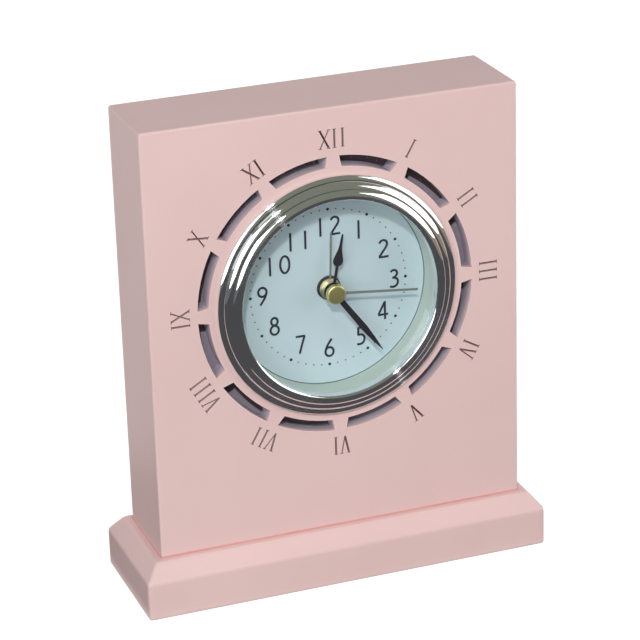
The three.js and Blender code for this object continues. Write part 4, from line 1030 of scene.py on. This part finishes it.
CHROME = chrome()
BRASS = brushed("turned_brass", srgb(214, 204, 140), 0.36, 0.75)
GILT = brushed("gilt_hub_metal", srgb(220, 214, 180), 0.38, 0.75)
STEEL = brushed("plain_steel", srgb(165, 167, 170), 0.35)
COPPER = brushed("copper_wire", srgb(184, 100, 54), 0.35)
print("metals:", CHROME.material.name, GILT.material.name, BRASS.material.name)

# %% [markdown]
# Glass lets light through to the dial without a dark shadow. The shader is clear glass for the camera and
# for reflections. For the light that falls on the dial, shadow rays and diffuse rays, it turns transparent
# instead, as thin clear glass nearly is. Otherwise the renderer would look for that light along bent paths
# and seldom find it.

# %% Glass
WHITE = (1, 1, 1, 1)
THROUGH_GLASS = (0.94, 0.96, 0.96, 1)


def clear_glass():
    finish = Finish("clear_glass", WHITE, 0.0, 0.0, IOR=1.45, Transmission_Weight=1.0)
    tree = finish.tree
    smears = finish.effect(CLOUDY, Broad_Scale=30.0, Fine_Scale=300.0)
    finish.roughen(smears["Broad"], 0.0, 0.04)
    path = add_node(tree, "ShaderNodeLightPath")
    through = add_node(tree, "ShaderNodeBsdfTransparent", Color=THROUGH_GLASS)
    falling = math_node(tree, "MAXIMUM", path.outputs["Is Shadow Ray"], path.outputs["Is Diffuse Ray"])
    finish.show(blend(tree, falling, finish.shader.outputs[0], through.outputs[0]))
    return finish


GLASS = clear_glass()
print("glass is", round(glass_front - glass_back, 2), "mm thick")

# %% [markdown]
# The rest is moulded plastic, card, paint, ink and rubber. Each is a base colour with a slight cloud, a fine
# tooth in its roughness and relief, and paler or darker corners, so one function makes them all. The dial's
# card gets a dark line of painted shade where it meets the well, and the battery's wrap gets a plain band at
# its plus end.

# %% Plastics, card, ink and rubber
def moulded(name, color, roughness, edge_color, edges=0.3, tooth=0.00001, fine=1800.0):
    """A finish with clouds, worn edges and a tooth of some depth, in metres, and some fineness."""
    finish = Finish(name, color, roughness)
    clouds = finish.effect(CLOUDY, Broad_Scale=40.0, Fine_Scale=fine)
    finish.tint(finish.ramp(clouds["Broad"], *CLOUD_RANGE), darker(color, 0.86), 0.5)
    finish.tint(finish.effect(SOFT_EDGES, Reach=0.0003, Amount=edges)["Mask"], edge_color)
    finish.roughen(clouds["Fine"], roughness - 0.06, roughness + 0.08)
    finish.bump(clouds["Fine"], tooth, 0.6)
    return finish


GAP_SHADE_RADIUS = 0.0367
BAND_SHARE = 0.12


def paint_gap_shade(finish, color):
    """Paints shade on the rim of the dial, where the fine gap between the card and the well's wall lies in
    shadow.
    """
    x, y, _ = finish.axes()
    reach = flat_distance(finish.tree, x, y)
    finish.tint(math_node(finish.tree, "GREATER_THAN", reach, GAP_SHADE_RADIUS), color)


def plus_band(finish, color, share):
    """A band of another colour round the battery's plus end, over a share of its length."""
    low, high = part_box("battery")
    plus_low, plus_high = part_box("contact_plus")
    to_plus = 1.0 if plus_low.x + plus_high.x > low.x + high.x else -1.0
    middle = (low.x + high.x) / 2
    start = (0.5 - share) * (high.x - low.x)
    tree = finish.tree
    along = math_node(tree, "SUBTRACT", finish.axes()[0], middle)
    finish.tint(math_node(tree, "GREATER_THAN", product(tree, along, to_plus), start), color)


WHITE_PLASTIC = moulded("well_plastic", srgb(192, 204, 194), 0.4, srgb(210, 219, 208))
DIAL_CARD = moulded("dial_paper", srgb(202, 220, 226), 0.55, srgb(212, 227, 232), 0.1, 0.000004, 2600.0)
# Painted shade: a dark line round the dial's rim, for the shadowed gap at the well's wall.
paint_gap_shade(DIAL_CARD, srgb(92, 108, 110))
BLACK_PLASTIC = moulded("black_plastic", srgb(34, 34, 37), 0.45, srgb(70, 70, 74))
GREY_PLASTIC = moulded("grey_plastic", srgb(92, 94, 97), 0.5, srgb(130, 132, 135))
WHEEL_PLASTIC = moulded("wheel_plastic", srgb(232, 228, 212), 0.4, srgb(246, 243, 232))
BLACK_PAINT = moulded("black_hand_paint", srgb(34, 30, 38), 0.4, srgb(70, 66, 76), 0.2)
GREY_PAINT = moulded("grey_hand_paint", srgb(124, 130, 124), 0.4, srgb(160, 164, 158), 0.3)
INK_BLACK = moulded("printing_ink", srgb(34, 38, 48), 0.5, srgb(60, 64, 74), 0.1)
RUBBER = moulded("grip_rubber", srgb(40, 40, 41), 0.85, srgb(66, 66, 66))
BOARD = moulded("circuit_board", srgb(46, 92, 58), 0.5, srgb(170, 150, 90))
CELL = moulded("battery_wrap", srgb(58, 74, 94), 0.3, srgb(150, 150, 152))
plus_band(CELL, srgb(168, 170, 172), BAND_SHARE)
print("materials:", len(bpy.data.materials))

# %% [markdown]
# Every piece now gets its finish. Carried-over solids keep their meshes and only change material, and those
# that the first list doesn't name are steel. The pieces made here have a list of their own.

# %% Dress the pieces
NODE_FINISH = {
    "front_panel": panel_paint,
    "case_block": slot_floor_paint,
    "base_plinth": plinth_paint,
    "grip_ring": RUBBER,
    "circuit_board": BOARD,
    "battery": CELL,
    "coil": COPPER,
}
BLACK_NODES = ["housing", "time_set_knob", "alarm_set_knob", "alarm_switch", "chip"]
GREY_NODES = ["movement_front", "middle_plate", "movement_rear"]
BRASS_NODES = ["buzzer", "cannon_pinion", "time_set_arbor", "alarm_set_arbor"]
WHEELS = ["alarm", "hour", "motion", "centre", "third", "second", "intermediate"]
WHEEL_NODES = [wheel + "_wheel" for wheel in WHEELS]
NODE_FINISH |= dict.fromkeys(BLACK_NODES, BLACK_PLASTIC)
NODE_FINISH |= dict.fromkeys(GREY_NODES, GREY_PLASTIC)
NODE_FINISH |= dict.fromkeys(BRASS_NODES, BRASS)
NODE_FINISH |= dict.fromkeys(WHEEL_NODES, WHEEL_PLASTIC)
PIECE_FINISH = {
    "rim": CHROME,
    "glass": GLASS,
    "well_ring": WHITE_PLASTIC,
    "dial_card": DIAL_CARD,
    "dial_figures": INK_BLACK,
    "minute_dots": INK_BLACK,
    "hour_hand_blade": BLACK_PAINT,
    "minute_hand_blade": BLACK_PAINT,
    "second_hand_blade": GREY_PAINT,
    "alarm_hand_blade": GREY_PAINT,
    "alarm_hub": GILT,
    "hand_cap": BRASS,
    "dial_bush": BLACK_PLASTIC,
    "joint_shade_bead": bead_shade_finish,
}


def dress(piece, finish):
    piece.data.materials.clear()
    piece.data.materials.append(finish.material)


for name, node in nodes.items():
    dress(node, NODE_FINISH.get(name, STEEL))
for name, finish in PIECE_FINISH.items():
    dress(bpy.data.objects[name], finish)
print("dressed", len(nodes), "nodes and", len(PIECE_FINISH), "pieces")

# %% [markdown]
# The studio is a pale floor and a white room. The world is white where the camera, mirrors and glass see
# it, and a softer grey where it only lights. The floor paper glows a little for the same rays, so that it
# reads as pure white and still keeps the clock's soft shadow.

# %% Floor and world
FLOOR_HALF = 3.0
FLOOR_GREY = (0.36, 0.36, 0.36, 1)
FLOOR_GLOW = 0.84
WORLD_LIGHT = 0.08


def seen_rays(tree):
    """One for camera rays, mirror rays and rays through glass."""
    path = add_node(tree, "ShaderNodeLightPath")
    mirror = math_node(tree, "MAXIMUM", path.outputs["Is Camera Ray"], path.outputs["Is Glossy Ray"])
    return math_node(tree, "MAXIMUM", mirror, path.outputs["Is Transmission Ray"])


def level_corners(low_x, high_x, low_y, high_y, z):
    return [(low_x, low_y, z), (high_x, low_y, z), (high_x, high_y, z), (low_x, high_y, z)]


def flat_sheet(name, corners):
    """A stage piece of one face, which isn't part of the clock."""
    bm = bmesh.new()
    bm.faces.new([bm.verts.new(corner) for corner in corners])
    mesh = bpy.data.meshes.new(name)
    bm.to_mesh(mesh)
    bm.free()
    sheet = bpy.data.objects.new(name, mesh)
    bpy.context.scene.collection.objects.link(sheet)
    return sheet


def floor_paper():
    finish = Finish("floor_paper", FLOOR_GREY, 0.9)
    tree = finish.tree
    finish.bump(noise_node(tree, own_place(tree), 400.0), 0.0001, 0.2)
    strength = product(tree, seen_rays(tree), FLOOR_GLOW)
    glow = add_node(tree, "ShaderNodeEmission", Color=WHITE, Strength=strength)
    both = add_node(tree, "ShaderNodeAddShader")
    tree.links.new(finish.shader.outputs[0], both.inputs[0])
    tree.links.new(glow.outputs[0], both.inputs[1])
    finish.show(both.outputs[0])
    return finish


def white_world():
    world = bpy.data.worlds.new("studio")
    bpy.context.scene.world = world
    world.use_nodes = True
    tree = world.node_tree
    light = tree.nodes["Background"]
    light.inputs["Color"].default_value = WHITE
    light.inputs["Strength"].default_value = WORLD_LIGHT
    seen = add_node(tree, "ShaderNodeBackground", Color=WHITE, Strength=1.0)
    both = blend(tree, seen_rays(tree), light.outputs[0], seen.outputs[0])
    tree.links.new(both, tree.nodes["World Output"].inputs["Surface"])


floor = flat_sheet("floor", level_corners(-FLOOR_HALF, FLOOR_HALF, -FLOOR_HALF, FLOOR_HALF, 0))
dress(floor, floor_paper())
white_world()
bpy.context.scene.view_settings.view_transform = "Standard"
print("floor is", 2 * FLOOR_HALF, "m wide")

# %% [markdown]
# One small key lamp stands high on the left and gives the slots their crisp shadows. Two large soft boxes,
# like windows on either side, draw the long white stripes into the chrome; a low one behind keeps the back
# readable. A lamp is placed by two angles seen from the clock, as a photographer would say it.

# %% Lamps
CLOCK_MIDDLE = Vector((0, 0, 0.1))


def around(azimuth, elevation, away):
    """A place seen from the clock, by degrees to the right of straight ahead and degrees up."""
    turn = math.radians(azimuth)
    rise = math.radians(elevation)
    way = Vector((math.sin(turn) * math.cos(rise), -math.cos(turn) * math.cos(rise), math.sin(rise)))
    return CLOCK_MIDDLE + way * away


def add_lamp(name, azimuth, elevation, away, width, height, watts, color=(1, 1, 1)):
    """A lamp that is a flat panel and faces the clock."""
    data = bpy.data.lights.new(name, "AREA")
    data.shape = "RECTANGLE"
    data.size = width
    data.size_y = height
    data.energy = watts
    data.color = color
    lamp = bpy.data.objects.new(name, data)
    lamp.location = around(azimuth, elevation, away)
    lamp.rotation_euler = (CLOCK_MIDDLE - lamp.location).to_track_quat("-Z", "Y").to_euler()
    bpy.context.scene.collection.objects.link(lamp)
    return lamp


add_lamp("key_lamp", -22, 36.5, 1.5, 0.09, 0.12, 10.0)
add_lamp("right_window", 72, 19, 1.3, 1.6, 0.94, 11.0)
add_lamp("left_window", -43, 16, 1.3, 0.80, 0.92, 8.3, (0.95, 0.97, 1.0))
back_lamp = add_lamp("back_lamp", 180, 4, 1.5, 0.6, 0.5, 16.0)
back_lamp.visible_glossy = False

# %% [markdown]
# Photographers shape the rest of a mirror's reflections with cards, and here only reflections see them. They
# form a box 3.4 metres wide round the clock, open at the back: olive grey walls and roof, charcoal on the
# table near the clock, grey and tan farther out, and two pale cards high on the left. Those on the table lie
# just above it and leave out the clock's own place, and those that overlap lie on different levels.

# %% Cards
def upright_corners(start, end, low, high):
    """Corners of a standing card over a line on the floor, between two heights."""
    return [(*start, low), (*end, low), (*end, high), (*start, high)]


def add_card(name, corners, color):
    """A card that only reflections see."""
    card = flat_sheet(name, corners)
    finish = Finish(name, (0, 0, 0, 1), 1.0)
    glow = add_node(finish.tree, "ShaderNodeEmission", Color=(*color, 1))
    finish.show(glow.outputs[0])
    dress(card, finish)
    for kind in ("camera", "diffuse", "shadow", "volume_scatter"):
        setattr(card, "visible_" + kind, False)
    return card


SIDE, FRONT, REAR, ROOF = 1.7, -1.9, 0.1, 1.5
FAR_LEFT, FAR_RIGHT = -0.5, 0.55
HORIZON = 0.11
NEAR = -0.0265
BESIDE = 0.0785
LOW = 0.002
INSIDE = 0.01
PALE = (0.74, 0.75, 0.77)
CHARCOAL = (0.075, 0.075, 0.08)
GREY = (0.15, 0.155, 0.16)
TAN = (0.30, 0.25, 0.19)
OLIVE = (0.21, 0.22, 0.175)
CARDS = {
    "table_front": (level_corners(-SIDE, SIDE, FRONT, NEAR, LOW), CHARCOAL),
    "table_left": (level_corners(-SIDE, -BESIDE, NEAR, REAR, LOW), CHARCOAL),
    "table_right": (level_corners(BESIDE, SIDE, NEAR, REAR, LOW), CHARCOAL),
    "table_far_left": (level_corners(-SIDE, FAR_LEFT, FRONT, REAR, 2 * LOW), GREY),
    "table_far_right": (level_corners(FAR_RIGHT, SIDE, FRONT, REAR, 2 * LOW), TAN),
    "high_left": (level_corners(-1.35, -0.75, -0.85, -0.15, ROOF - INSIDE), PALE),
    "far_left": (upright_corners((INSIDE - SIDE, REAR), (INSIDE - SIDE, -0.72), 0.45, ROOF), PALE),
    "low_left": (upright_corners((-SIDE, REAR), (-SIDE, FRONT), 0, HORIZON), GREY),
    "low_right": (upright_corners((SIDE, REAR), (SIDE, FRONT), 0, HORIZON), TAN),
    "low_front": (upright_corners((-SIDE, FRONT), (SIDE, FRONT), 0, HORIZON), CHARCOAL),
    "left": (upright_corners((-SIDE, REAR), (-SIDE, FRONT), HORIZON, ROOF), OLIVE),
    "right": (upright_corners((SIDE, REAR), (SIDE, FRONT), HORIZON, ROOF), OLIVE),
    "front": (upright_corners((-SIDE, FRONT), (SIDE, FRONT), HORIZON, ROOF), OLIVE),
    "roof": (level_corners(-SIDE, SIDE, FRONT, REAR, ROOF), OLIVE),
}
for name, (corners, color) in CARDS.items():
    add_card(name, corners, color)
print("cards:", len(CARDS))
